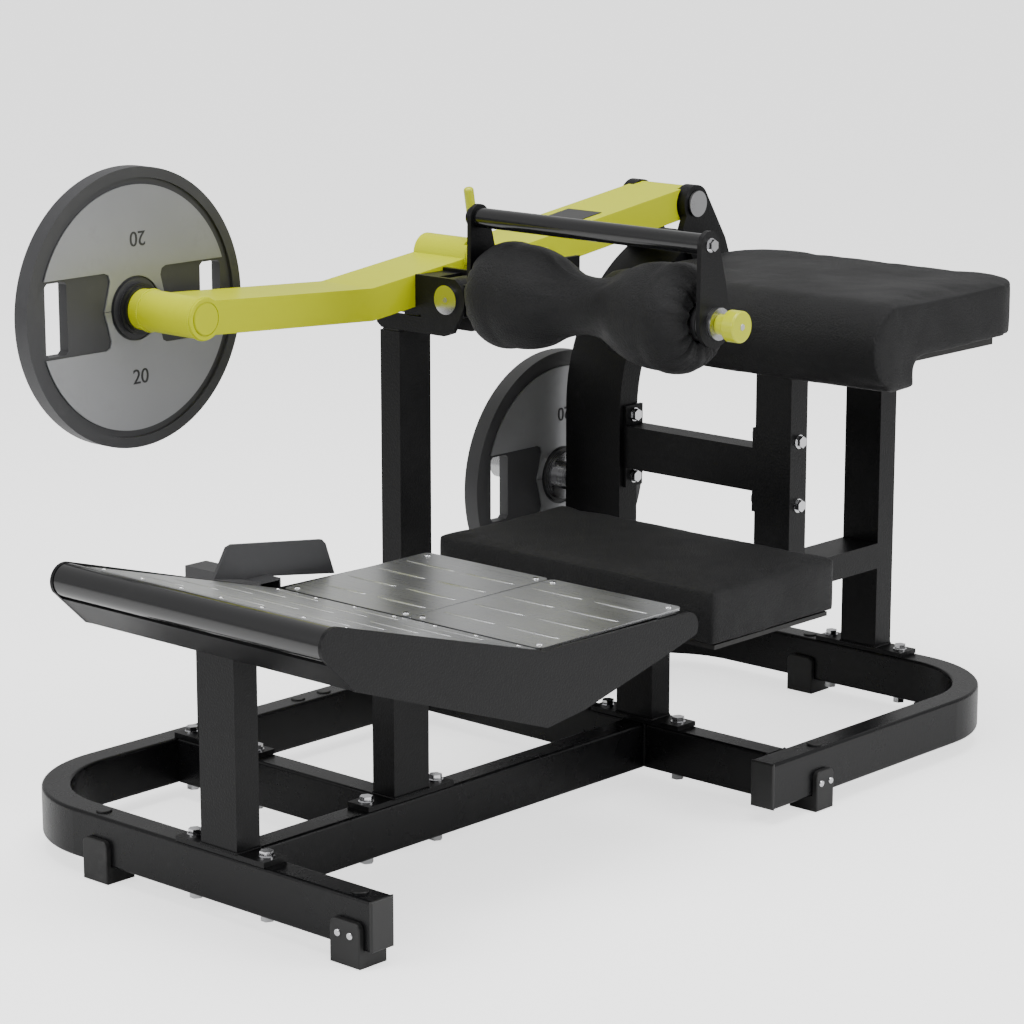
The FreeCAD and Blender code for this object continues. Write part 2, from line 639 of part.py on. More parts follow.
RAIL_SPOTS = {"mid": (MID_RAIL_Y, RAIL_LOW), "front": (7, FRONT_RAIL_LOW),
              "rear": (DECK_REAR - RAIL - 20, RAIL_LOW)}
together("platform_rails", [
    tube(f"{name}_rail", "X", -DECK - 5.5, 2 * DECK + 11, low, "rail_size", "rail_size")
    for name, low in RAIL_SPOTS.items()
])
STUB_LEFT = -451
stub_right = -DECK - 6 - CHEEK_THICK
stub = tube("side_stub", "X", STUB_LEFT, stub_right - STUB_LEFT, (MID_RAIL_Y, STUB_TOP - RAIL), "rail_size",
            "rail_size")
GUARD_X = -318
guard = prism("side_guard", "YZ", GUARD_X, 6, lambda sketch: add_polygon(sketch, [
    (286, 401), (351, STUB_TOP + 0.2), (396.2, STUB_TOP + 0.2), (396.2, 386), (545, 364), (526, 416),
    (518, 424), (325, 449), (314, 446)]))
together("side_stub_and_guard", [stub, guard])


# ---------------------------------------------------------------- seat
rail_tall = size("seat_rail_tall")
keep(tube("seat_rail", "Y", size("seat_rail_front"), size("pad_post_rear_y") - size("seat_rail_front"),
          (-TALL / 2, size("seat_rail_z")), "tube_tall", "seat_rail_tall"), "seat_rail")
SEAT, SEAT_FRONT, SEAT_REAR = size("seat_half"), size("seat_front"), size("seat_rear")
BOARD = size("board_thick")
SEAT_MIDDLE = size("seat_middle")
seat_board = block("seat_board", (SEAT_MIDDLE - SEAT + 14, SEAT_FRONT + 16, SEAT_RAIL_TOP),
                   (2 * SEAT - 28, SEAT_REAR - SEAT_FRONT - 32, size("seat_bottom") - SEAT_RAIL_TOP))


def seat_outline(sketch):
    add_rectangle(sketch, SEAT_MIDDLE - SEAT, SEAT_FRONT, 2 * SEAT, SEAT_REAR - SEAT_FRONT)


body = prism("seat_pad", "XY", size("seat_bottom"), size("seat_top") - size("seat_bottom"), seat_outline)
round_edges(body, 8, "Z")
top_edges = [f"Edge{n}" for n, e in enumerate(body.Shape.Edges, 1) if e.BoundBox.ZMin > size("seat_top") - 0.1]
add_fillet(body, top_edges, 7, "crown")
keep(body, "seat_pad")

# ---------------------------------------------------------------- back pad
PAD, PAD_FRONT, PAD_STEP, PAD_REAR = size("pad_half"), size("pad_front"), size("pad_step"), size("pad_rear")
PAD_LOW, SLAB_LOW, PAD_TOP = size("pad_low"), size("pad_slab_low"), size("pad_top")


def back_pad_outline(sketch):
    """The profile seen from the side: a rolled front edge that hangs below the slab."""
    bulge = 62
    add_wire(sketch, [
        arc3((PAD_FRONT + bulge, PAD_LOW), (PAD_FRONT, PAD_LOW + 76), (PAD_FRONT + bulge, PAD_TOP)),
        line2((PAD_FRONT + bulge, PAD_TOP), (PAD_REAR, PAD_TOP)),
        line2((PAD_REAR, PAD_TOP), (PAD_REAR, SLAB_LOW)),
        line2((PAD_REAR, SLAB_LOW), (PAD_STEP + 14, SLAB_LOW)),
        line2((PAD_STEP + 14, SLAB_LOW), (PAD_STEP, SLAB_LOW - 14)),
        line2((PAD_STEP, SLAB_LOW - 14), (PAD_STEP, PAD_LOW)),
        line2((PAD_STEP, PAD_LOW), (PAD_FRONT + bulge, PAD_LOW)),
    ])


body = prism("back_pad", "YZ", -PAD, 2 * PAD, back_pad_outline)
corner_edges = [f"Edge{n}" for n, e in enumerate(body.Shape.Edges, 1)
                if e.BoundBox.YMin > PAD_REAR - 0.1 and e.BoundBox.ZLength > 10]
add_fillet(body, corner_edges, size("pad_corner"), "corners")
keep(body, "back_pad")
back_board = block("back_pad_board", (-PAD + 45, PAD_STEP + 16, POST_TOP + 6),
                   (2 * PAD - 90, PAD_REAR - PAD_STEP - 90, SLAB_LOW - POST_TOP - 6))
together("pad_boards", [seat_board, back_board])

# ---------------------------------------------------------------- brace between the upright and the pad post
UP_RIGHT = UP_LEFT + UP_WIDE
POST_LEFT = -TALL / 2
PLATE = 6
body = tube("upright_brace", "X", UP_RIGHT + PLATE, POST_LEFT - UP_RIGHT - 2 * PLATE, (PAD_FRONT_POST_Y, BRACE_Z),
            "tube_wide", "tube_tall")
for end, start in (("left", UP_RIGHT), ("right", POST_LEFT - PLATE)):
    sketch = new_sketch(body, "YZ", f"upright_brace_{end}_plate", start)
    add_rectangle(sketch, PAD_FRONT_POST_Y, BRACE_Z - 35, WIDE, TALL + 70)
    pad(body, sketch, PLATE)
drill(body, "YZ", [(PAD_FRONT_POST_Y + WIDE / 2, z) for z in BRACE_BOLTS], BOLT_R, "upright_brace_holes")
keep(body, "upright_brace")
brace_bolts = []
for z in BRACE_BOLTS:
    y = PAD_FRONT_POST_Y + WIDE / 2
    brace_bolts.append(bolt((TALL / 2, y, z), (1, 0, 0), TALL + PLATE))
    brace_bolts.append(bolt((UP_RIGHT + PLATE, y, z), (1, 0, 0), PLATE + 3, nut=False))
group("frame_bolts", flange_bolts + brace_bolts)

# ---------------------------------------------------------------- curved upright and rear pivot
BEND_Z, BEND_R = size("upright_bend_z"), size("upright_bend")
TURN = math.radians(size("upright_turn"))
BEND_CENTRE = (UP_Y + BEND_R, BEND_Z)


def upright_point(radius, angle):
    return (BEND_CENTRE[0] - radius * math.cos(angle), BEND_CENTRE[1] + radius * math.sin(angle))


def upright_profile(inset):
    """The side outline of the curved upright, drawn inset from its outer faces."""
    outer, inner = BEND_R - inset, BEND_R - UP_DEEP + inset
    foot_z = BASE_TOP + inset
    top = TURN - inset / BEND_R
    return [
        line2((UP_Y + inset, foot_z), (UP_Y + inset, BEND_Z)),
        arc3((UP_Y + inset, BEND_Z), upright_point(outer, top / 2), upright_point(outer, top)),
        line2(upright_point(outer, top), upright_point(inner, top)),
        arc3(upright_point(inner, top), upright_point(inner, top / 2), (UP_Y + UP_DEEP - inset, BEND_Z)),
        line2((UP_Y + UP_DEEP - inset, BEND_Z), (UP_Y + UP_DEEP - inset, foot_z)),
        line2((UP_Y + UP_DEEP - inset, foot_z), (UP_Y + inset, foot_z)),
    ]


outside = prism("curved_upright_outside", "YZ", UP_LEFT, UP_WIDE, lambda s: add_wire(s, upright_profile(0)),
                "sizes.upright_wide")
inside = prism("curved_upright_inside", "YZ", UP_LEFT + 4, UP_WIDE - 8, lambda s: add_wire(s, upright_profile(4)))
shell = cut("curved_upright_shell", outside, inside)
shell_holes = [cylinder(f"curved_upright_hole_{i}", (UP_RIGHT - 10, PAD_FRONT_POST_Y + WIDE / 2, z), (1, 0, 0),
                        BOLT_R, 20) for i, z in enumerate(BRACE_BOLTS)]
keep(cut("curved_upright", shell, fuse("curved_upright_holes", shell_holes)), "curved_upright")

PIVOT_Y, PIVOT_Z = size("pivot_y"), size("pivot_z")
BOSS_R = size("clevis_boss") / 2
SHAFT_R = size("pivot_shaft") / 2
CLEVIS = size("clevis_thick")


def tangent_points(direction):
    """The two points where straight sides that lean towards direction leave the boss's circle."""
    length = math.hypot(*direction)
    normal = (-direction[1] / length * BOSS_R, direction[0] / length * BOSS_R)
    return [(PIVOT_Y + side * normal[0], PIVOT_Z + side * normal[1]) for side in (1, -1)]


def clevis_outline(sketch):
    """A plate that rises forward from the upright's end to the pivot boss."""
    rear_side, front_side = tangent_points((64, -92))
    rear_low, foot_rear = (1538, 801), (1552, 766)
    foot_front, front_low = (1462, 742), (1418, 828)
    crown = (PIVOT_Y - 0.57 * BOSS_R, PIVOT_Z + 0.82 * BOSS_R)
    add_wire(sketch, [
        arc3(front_side, crown, rear_side),
        line2(rear_side, rear_low),
        line2(rear_low, foot_rear),
        line2(foot_rear, foot_front),
        line2(foot_front, front_low),
        line2(front_low, front_side),
    ])


clevis_plates = []
for label, left, boss_left in (("pivot_clevis_left", UP_LEFT - CLEVIS, UP_LEFT - CLEVIS),
                               ("pivot_clevis_right", UP_RIGHT, size("pivot_tube_right") + 1)):
    body = prism(label, "YZ", left, CLEVIS, clevis_outline, "sizes.clevis_thick")
    sketch = new_sketch(body, "YZ", label + "_boss", boss_left)
    add_circle(sketch, PIVOT_Y, PIVOT_Z, BOSS_R, "sizes.clevis_boss / 2")
    boss_end = UP_RIGHT + CLEVIS if boss_left > left - 20 and "right" in label else size("pivot_tube_left") - 1
    pad(body, sketch, boss_end - boss_left)
    drill(body, "YZ", [(PIVOT_Y, PIVOT_Z)], SHAFT_R + 0.05, label + "_bore")
    clevis_plates.append(body)
together("pivot_clevis", clevis_plates)

shaft_start = UP_LEFT - CLEVIS - 1
shaft_length = UP_RIGHT + CLEVIS + 1 - shaft_start
stem = cylinder("pivot_shaft_stem", (shaft_start, PIVOT_Y, PIVOT_Z), (1, 0, 0), SHAFT_R, shaft_length,
                "sizes.pivot_shaft / 2")
left_disc = cylinder("pivot_shaft_left_disc", (shaft_start - 4, PIVOT_Y, PIVOT_Z), (1, 0, 0), 23, 4)
right_disc = cylinder("pivot_shaft_right_disc", (shaft_start + shaft_length, PIVOT_Y, PIVOT_Z), (1, 0, 0), 23, 4)
keep(fuse("pivot_shaft", [stem, left_disc, right_disc]), "pivot_shaft")

# storage horn on the outer face of the upright
STORE_Y, STORE_Z = size("store_y"), size("store_z")
HORN_R = size("horn_radius")


def horn(label, root, stop, end, y, z, collar_radius):
    """A round weight horn that points along -X, with a stop collar behind the plates. A clip groove
    beyond the first plate parts the free end from the rest, and the tip is chamfered."""
    groove, tip = stop - 37, 3
    root_part = cylinder(label + "_root", (groove + 2, y, z), (1, 0, 0), HORN_R, root - groove - 2,
                         "sizes.horn_radius")
    neck = cylinder(label + "_neck", (groove, y, z), (1, 0, 0), HORN_R - 1, 2)
    free = cylinder(label + "_free", (end + tip, y, z), (1, 0, 0), HORN_R, groove - end - tip, "sizes.horn_radius")
    nose = doc.addObject("Part::Cone", label + "_nose")
    nose.Radius1, nose.Radius2, nose.Height = HORN_R - tip, HORN_R, tip
    nose.Placement = FreeCAD.Placement(V(end, y, z), FreeCAD.Rotation(V(0, 0, 1), V(1, 0, 0)))
    collar = cylinder(label + "_collar", (stop, y, z), (1, 0, 0), collar_radius, 8)
    return keep(fuse(label, [root_part, neck, free, nose, collar]), label)


horn("storage_horn", UP_LEFT, size("store_stop"), size("store_horn_end"), STORE_Y, STORE_Z, 42)
store_plate_left = size("store_stop") - size("plate_thick") - 0.4


# ---------------------------------------------------------------- weight plates
def weight_plate(label, left, y, z):
    """A 20 kg plate: thick rim, thinner web with two hand slots, and a raised hub round the bore."""
    radius, thick = size("plate_radius"), size("plate_thick")
    web = 5
    body = new_body(label)
    sketch = new_sketch(body, "YZ", label + "_disc", left)
    add_circle(sketch, y, z, radius, "sizes.plate_radius")
    pad(body, sketch, thick, "sizes.plate_thick")
    recess_outer, recess_inner = radius - 17, 48
    for side, start in (("near", left + thick - web), ("far", left)):
        sketch = new_sketch(body, "YZ", f"{label}_{side}_recess", start)
        add_circle(sketch, y, z, recess_outer)
        add_circle(sketch, y, z, recess_inner)
        feature = body.newObject("PartDesign::Pocket", f"{label}_{side}_pocket")
        feature.Profile = sketch
        feature.Length = web
        feature.Reversed = True
        before = body.Shape.Volume
        doc.recompute()
        if body.Shape.Volume > before - 1:
            raise RuntimeError(f"{label} {side} recess cut nothing")
    sketch = new_sketch(body, "YZ", label + "_slots", left)
    for side in (-1, 1):
        near, far, reach, corner = 140, 184, 58, 5
        spots = [(near, -reach + corner), (near, reach - corner), (near + corner, reach), (far - corner, reach),
                 (far, reach - corner), (far, corner - reach), (far - corner, -reach), (near + corner, -reach)]
        add_polygon(sketch, [(y + side * a, z + b) for a, b in spots])
    pocket_through(body, sketch)
    drill(body, "YZ", [(y, z)], size("plate_bore") / 2, label + "_bore")
    return keep(body, label)


HORN_Y, HORN_Z = size("horn_y"), size("horn_z")
weight_plate("storage_weight_plate", store_plate_left, STORE_Y, STORE_Z)
weight_plate("load_weight_plate", size("load_stop") - size("plate_thick") - 0.4, HORN_Y, HORN_Z)

# ---------------------------------------------------------------- lever arm
ARM_X, ARM_WIDE, ARM_TALL = size("arm_x"), size("arm_wide"), size("arm_tall")
ARM_LEFT = ARM_X - ARM_WIDE / 2
BEND_Y, BEND_TOP = size("arm_bend_y"), size("arm_bend_z")
ARM_END_Y, ARM_END_TOP = size("arm_end_y"), size("arm_end_z")
HORN_TUBE_R = size("horn_tube") / 2
SLEEVE_R, SLEEVE_Z = size("sleeve_radius"), size("sleeve_z")


def arm_strip(tops, inset):
    """The side outline of a beam whose top edge passes through the given (y, z) points."""
    tops = list(tops)
    lows = [(y, z - ARM_TALL + inset) for y, z in reversed(tops)]
    highs = [(y, z - inset) for y, z in tops]
    return highs + lows


def hollow_beam(label, left, tops):
    """A closed rectangular beam, bent in its side view, hollow inside."""
    wall = 4
    outer = prism(label + "_outside", "YZ", left, ARM_WIDE, lambda s: add_polygon(s, arm_strip(tops, 0)),
                  "sizes.arm_wide")
    inner = prism(label + "_inside", "YZ", left + wall, ARM_WIDE - 2 * wall,
                  lambda s: add_polygon(s, arm_strip(tops, wall)))
    return cut(label + "_shell", outer, inner)


front_tops = [(HORN_Y, HORN_Z + ARM_TALL / 2), (BEND_Y, BEND_TOP), (ARM_END_Y, ARM_END_TOP)]
front_beam = hollow_beam("arm_front_beam", ARM_LEFT, front_tops)
horn_cutter = cylinder("arm_front_horn_cut", (ARM_LEFT - 5, HORN_Y, HORN_Z), (1, 0, 0), HORN_TUBE_R, ARM_WIDE + 10)
sleeve_cutter = cylinder("arm_front_sleeve_cut", (ARM_LEFT - 5, ARM_END_Y, SLEEVE_Z), (1, 0, 0), SLEEVE_R,
                         ARM_WIDE + 10)
end_cutter = block("arm_front_end_cut", (ARM_LEFT - 5, ARM_END_Y, SLEEVE_Z - 120), (ARM_WIDE + 10, 60, 240))
front_cutters = fuse("arm_front_cutters", [horn_cutter, sleeve_cutter, end_cutter])
keep(cut("arm_front_beam", front_beam, front_cutters), "arm_front_beam")

REAR_ARM_LEFT = size("rear_arm_x") - ARM_WIDE / 2
rear_tops = [(ARM_END_Y, size("rear_arm_front_z")), (PIVOT_Y, size("rear_arm_rear_z"))]
rear_beam = hollow_beam("arm_rear_beam", REAR_ARM_LEFT, rear_tops)
rear_sleeve_cutter = cylinder("arm_rear_sleeve_cut", (REAR_ARM_LEFT - 5, ARM_END_Y, SLEEVE_Z), (1, 0, 0), SLEEVE_R,
                              ARM_WIDE + 10)
PIVOT_TUBE_R = size("pivot_tube") / 2
rear_pivot_cutter = cylinder("arm_rear_pivot_cut", (REAR_ARM_LEFT - 5, PIVOT_Y, PIVOT_Z), (1, 0, 0), PIVOT_TUBE_R,
                             ARM_WIDE + 10)
BOSS_CLEAR = BOSS_R + 4
boss_cutters = [ring(f"arm_rear_boss_cut_{side}", (left, PIVOT_Y, PIVOT_Z), (1, 0, 0), BOSS_CLEAR, 5, 40)
                for side, left in (("left", size("pivot_tube_left") - 40), ("right", size("pivot_tube_right")))]
rear_cutters = fuse("arm_rear_cutters", [rear_sleeve_cutter, rear_pivot_cutter] + boss_cutters)
keep(cut("arm_rear_beam", rear_beam, rear_cutters), "arm_rear_beam")

# round cross tubes of the arm
pivot_pieces = [ring("pivot_tube", (size("pivot_tube_left"), PIVOT_Y, PIVOT_Z), (1, 0, 0), PIVOT_TUBE_R,
                     SHAFT_R + 5, size("pivot_tube_right") - size("pivot_tube_left"))]
for side, start in (("left", size("pivot_tube_left") + 0.5), ("right", size("pivot_tube_right") - 30.5)):
    pivot_pieces.append(ring(f"pivot_bush_{side}", (start, PIVOT_Y, PIVOT_Z), (1, 0, 0), SHAFT_R + 5,
                             SHAFT_R + 0.05, 30))
together("arm_pivot_tube", pivot_pieces)

tube_length = size("horn_tube_right") - size("horn_tube_left")
horn_tube = ring("arm_horn_tube_ring", (size("horn_tube_left"), HORN_Y, HORN_Z), (1, 0, 0), HORN_TUBE_R, HORN_R + 0.05,
                 tube_length - 10)
cap = Part.makeCylinder(HORN_TUBE_R, 10, V(size("horn_tube_right") - 10, HORN_Y, HORN_Z), V(1, 0, 0))
groove = Part.makeCylinder(27, 1.5, V(size("horn_tube_right") - 1.5, HORN_Y, HORN_Z), V(1, 0, 0))
groove = groove.cut(Part.makeCylinder(25.5, 1.5, V(size("horn_tube_right") - 1.5, HORN_Y, HORN_Z), V(1, 0, 0)))
horn_cap = doc.addObject("Part::Feature", "arm_horn_cap")
horn_cap.Shape = cap.cut(groove)
together("arm_horn_tube", [horn_tube, horn_cap])
horn("load_horn", size("horn_tube_right") - 12, size("load_stop"), size("load_horn_end"), HORN_Y, HORN_Z, 38)

# cross sleeve that holds the lock bolt; a long window in its top lets the lever slide
SLEEVE_LEFT, SLEEVE_RIGHT = size("sleeve_left"), size("sleeve_right")
LEVER_X = size("lever_x")
sleeve_tube = ring("arm_sleeve_tube", (SLEEVE_LEFT, ARM_END_Y, SLEEVE_Z), (1, 0, 0), SLEEVE_R, size("sleeve_bore") / 2,
                   SLEEVE_RIGHT - SLEEVE_LEFT)
window = block("arm_sleeve_window", (LEVER_X - 10, ARM_END_Y - 22, SLEEVE_Z), (size("lock_travel") + 20, 32, 60))
keep(cut("arm_lock_sleeve", sleeve_tube, window), "arm_lock_sleeve")

# blank data plate on top of the rear beam
slope = math.atan2(size("rear_arm_rear_z") - size("rear_arm_front_z"), PIVOT_Y - ARM_END_Y)
label_y = 1150
label_z = size("rear_arm_front_z") + (label_y - ARM_END_Y) * math.tan(slope)
label_plate = block("arm_data_plate", (0, 0, 0), (76, 92, 1.2))
label_plate.Placement = FreeCAD.Placement(V(size("rear_arm_x") - 38, label_y, label_z),
                                          FreeCAD.Rotation(V(1, 0, 0), math.degrees(slope)))
keep(label_plate, "arm_data_plate")

# ---------------------------------------------------------------- swing hinge of the hip roller
HINGE_X, HINGE_Z, HINGE_R = size("hinge_x"), size("hinge_z"), size("hinge_round")
HINGE_LOW = REST_TOP + 3 + size("rest_gap")
FRONT_PLATE_Y = size("rest_post_y")
REAR_PLATE_Y = FRONT_PLATE_Y + TALL
ARM_RIGHT = ARM_LEFT + ARM_WIDE


def arm_top(y):
    """Height of the front beam's top at y, behind its bend."""
    return BEND_TOP + (y - BEND_Y) * (ARM_END_TOP - BEND_TOP) / (ARM_END_Y - BEND_Y)


def hinge_plate(label, y, slotted):
    """A cheek plate across the arm: it passes under the beam and carries the hinge pin beside it."""
    under = arm_top(y) - ARM_TALL - 0.5
    top = arm_top(y) + 1
    left = -530
    knee = (HINGE_X + HINGE_R * math.cos(math.radians(-28)), HINGE_Z + HINGE_R * math.sin(math.radians(-28)))
    crown = (HINGE_X + HINGE_R * math.cos(math.radians(45)), HINGE_Z + HINGE_R * math.sin(math.radians(45)))
    high = math.sqrt(max(HINGE_R ** 2 - (top - HINGE_Z) ** 2, 0))
    meet = (HINGE_X + high, top) if top < HINGE_Z + HINGE_R else (HINGE_X, HINGE_Z + HINGE_R)

    def draw(sketch):
        outline = [line2((left, HINGE_LOW + 8), (-519, HINGE_LOW)), line2((-519, HINGE_LOW), (-374, HINGE_LOW)),
                   line2((-374, HINGE_LOW), (-354, HINGE_LOW + 7)), line2((-354, HINGE_LOW + 7), knee),
                   arc3(knee, crown, meet), line2(meet, (ARM_RIGHT, meet[1])),
                   line2((ARM_RIGHT, meet[1]), (ARM_RIGHT, under)), line2((ARM_RIGHT, under), (left, under)),
                   line2((left, under), (left, HINGE_LOW + 8))]
        add_wire(sketch, outline)

    body = prism(label, "XZ", y, size("hinge_plate"), draw, "sizes.hinge_plate")
    drill(body, "XZ", [(HINGE_X, HINGE_Z)], size("hinge_pin") / 2 + 0.05, label + "_bore")
    if slotted:
        sketch = new_sketch(body, "XZ", label + "_relief")
        add_rectangle(sketch, left - 1, 726, -427 - left + 1, 4)
        pocket_through(body, sketch)
    return body


front_plate = hinge_plate("hinge_plate_front", FRONT_PLATE_Y, True)
rear_plate = hinge_plate("hinge_plate_rear", REAR_PLATE_Y - size("hinge_plate"), False)
cover_low = arm_top(FRONT_PLATE_Y)
cover = prism("hinge_cover", "XZ", FRONT_PLATE_Y + size("hinge_plate"), TALL - 2 * size("hinge_plate"),
              lambda s: add_rectangle(s, ARM_RIGHT + 0.2, cover_low - 6, 42, 6))
web = block("hinge_web", (ARM_RIGHT + 0.2, FRONT_PLATE_Y + size("hinge_plate"), 716),
            (8, TALL - 2 * size("hinge_plate"), cover_low - 6 - 716))
together("hinge_bracket", [front_plate, rear_plate, cover, web])
pin_r = size("hinge_pin") / 2
pin = cylinder("hinge_pin_stem", (HINGE_X, FRONT_PLATE_Y, HINGE_Z), (0, 1, 0), pin_r, TALL)
pin_head = cylinder("hinge_pin_head", (HINGE_X, FRONT_PLATE_Y - 4, HINGE_Z), (0, 1, 0), size("hinge_head") / 2, 4)
pin_tail = cylinder("hinge_pin_tail", (HINGE_X, REAR_PLATE_Y, HINGE_Z), (0, 1, 0), 17, 4)
keep(fuse("hinge_pin", [pin, pin_head, pin_tail]), "hinge_pin")

# rubber rest on the left post, under the hinge plates
keep(block("arm_rest_pad", (LEFT + 4, FRONT_PLATE_Y + 2, REST_TOP), (WIDE - 8, TALL - 4, 3)), "arm_rest_pad")

# ---------------------------------------------------------------- swinging roller frame
AXIS_Y, AXIS_Z = size("axis_y"), size("axis_z")
BAR_Y, BAR_Z, BAR_R = size("bar_y"), size("bar_z"), size("bar_radius")
LINK, LINK_THICK = size("link_x"), size("link_thick")
ROLLER_SHAFT_R = size("roller_shaft") / 2
barrel_low = FRONT_PLATE_Y + size("hinge_plate") + 1
barrel_high = REAR_PLATE_Y - size("hinge_plate") - 1
BARREL_R = size("barrel_radius")
barrel = ring("swing_barrel", (HINGE_X, barrel_low, HINGE_Z), (0, 1, 0), BARREL_R, pin_r + 3,
              barrel_high - barrel_low)
barrel_bush = ring("swing_bush", (HINGE_X, barrel_low, HINGE_Z), (0, 1, 0), pin_r + 3, pin_r + 0.05,
                   barrel_high - barrel_low)

# box link from the barrel to the left link plate
LINK_LEFT = -LINK
link_box = block("swing_link_box", (HINGE_X + 10, barrel_low + 2, HINGE_Z - 26), (LINK_LEFT - HINGE_X - 10,
                                                                               barrel_high - barrel_low - 4, 52))
barrel_cut = cylinder("swing_link_cut", (HINGE_X, barrel_low - 5, HINGE_Z), (0, 1, 0), BARREL_R, 90)
link = cut("swing_link", link_box, barrel_cut)


def link_outline(sketch):
    """A plate that tapers from the roller's shaft up to the handle bar."""
    low_r, high_r = 38, 21.5
    slope_y, slope_z = BAR_Y - AXIS_Y, BAR_Z - AXIS_Z
    length = math.hypot(slope_y, slope_z)
    lean = math.atan2(slope_z, slope_y)
    side = math.acos((low_r - high_r) / length)
    points = []
    for sign in (-1, 1):
        angle = lean + sign * side
        points.append((AXIS_Y + low_r * math.cos(angle), AXIS_Z + low_r * math.sin(angle)))
        points.append((BAR_Y + high_r * math.cos(angle), BAR_Z + high_r * math.sin(angle)))
    rear_low, rear_high, front_low, front_high = points
    below = (AXIS_Y - low_r * math.cos(lean), AXIS_Z - low_r * math.sin(lean))
    above = (BAR_Y + high_r * math.cos(lean), BAR_Z + high_r * math.sin(lean))
    add_wire(sketch, [
        arc3(front_low, below, rear_low), line2(rear_low, rear_high),
        arc3(rear_high, above, front_high), line2(front_high, front_low),
    ])


def drill_link(body, label, extra=()):
    drill(body, "YZ", [(AXIS_Y, AXIS_Z)], ROLLER_SHAFT_R + 0.05, label + "_shaft_hole")
    drill(body, "YZ", [(BAR_Y, BAR_Z)], BAR_R + 0.1 if "left" in label else 6.5, label + "_bar_hole")
    for number, (y, z, radius) in enumerate(extra):
        drill(body, "YZ", [(y, z)], radius, f"{label}_lock_hole_{number}")


body = prism("link_plate_right", "YZ", LINK, LINK_THICK, link_outline, "sizes.link_thick")
drill_link(body, "link_plate_right")
keep(body, "link_plate_right")

body = prism("link_plate_left", "YZ", LINK_LEFT, LINK_THICK, link_outline, "sizes.link_thick")
sketch = new_sketch(body, "YZ", "link_plate_left_tail", LINK_LEFT)
add_polygon(sketch, [(AXIS_Y + 10, 734), (barrel_high, 734), (1040, 786), (1040, 830), (990, 830),
                     (AXIS_Y + 26, 826)])
pad(body, sketch, LINK_THICK)
LOCK_R = size("lock_bolt") / 2
drill_link(body, "link_plate_left", [(ARM_END_Y, SLEEVE_Z, LOCK_R + 0.6)])
together("swing_frame", [barrel, barrel_bush, link, body])

bar_left = LINK_LEFT - 6
bar_tube = ring("handle_bar_tube", (bar_left, BAR_Y, BAR_Z), (1, 0, 0), BAR_R, BAR_R - 3, LINK - bar_left)
bar_end = cylinder("handle_bar_end", (bar_left - 3, BAR_Y, BAR_Z), (1, 0, 0), BAR_R, 3)
keep(fuse("handle_bar", [bar_tube, bar_end]), "handle_bar")
bolt_face = LINK + LINK_THICK
solid = Part.makeCylinder(11, 2, V(bolt_face, BAR_Y, BAR_Z), V(1, 0, 0))
solid = solid.fuse(hex_prism((bolt_face + 2, BAR_Y, BAR_Z), (1, 0, 0), 16, 7))
solid = solid.fuse(Part.makeCylinder(6, LINK_THICK, V(LINK, BAR_Y, BAR_Z), V(1, 0, 0)))
group("bar_bolt", [solid.removeSplitter()])
shaft = cylinder("roller_shaft_stem", (LINK_LEFT - 3, AXIS_Y, AXIS_Z), (1, 0, 0), ROLLER_SHAFT_R,
                 LINK + LINK_THICK + 3 - LINK_LEFT, "sizes.roller_shaft / 2")
knob_collar = ring("knob_collar", (LINK + LINK_THICK, AXIS_Y, AXIS_Z), (1, 0, 0), 25, 9, 9)
together("roller_shaft", [shaft, knob_collar])

# ---------------------------------------------------------------- hip roller
ROLLER = size("roller_half")
LOBE_R, LOBE_X, WAIST_R = size("lobe_radius"), size("lobe_x"), size("waist_radius")
END_R, CORE_R = size("roller_end_radius"), size("core_radius")


def roller_outline(sketch):
    """Half the section of the hourglass pad, above the shaft's axis."""
    edges = [
        arc3((ROLLER, END_R), (202, LOBE_R - 5), (LOBE_X, LOBE_R)),
        arc3((LOBE_X, LOBE_R), (105, 81), (62, 63)),
        arc3((62, 63), (0, WAIST_R), (-62, 63)),
        arc3((-62, 63), (-105, 81), (-LOBE_X, LOBE_R)),
        arc3((-LOBE_X, LOBE_R), (-202, LOBE_R - 5), (-ROLLER, END_R)),
        line2((-ROLLER, END_R), (-ROLLER, CORE_R)),
        line2((-ROLLER, CORE_R), (ROLLER, CORE_R)),
        line2((ROLLER, CORE_R), (ROLLER, END_R)),
    ]
    add_wire(sketch, edges)


body = new_body("hip_roller_pad")
sketch = new_sketch(body, "XZ", "hip_roller_section")
roller_outline(sketch)
turn = body.newObject("PartDesign::Revolution", "hip_roller_turn")
turn.Profile = sketch
turn.ReferenceAxis = (sketch, ["H_Axis"])
turn.Angle = 360
body.Placement.Base = V(0, AXIS_Y, AXIS_Z)
doc.recompute()
keep(body, "hip_roller_pad")
core_pieces = [ring("core_tube", (-ROLLER - 2, AXIS_Y, AXIS_Z), (1, 0, 0), CORE_R, CORE_R - 4, 2 * ROLLER + 4)]
for side, start in (("left", -ROLLER - 3), ("right", ROLLER - 15)):
    core_pieces.append(ring(f"bearing_{side}", (start, AXIS_Y, AXIS_Z), (1, 0, 0), CORE_R - 4,
                            ROLLER_SHAFT_R + 0.05, 18))
together("roller_core", core_pieces)

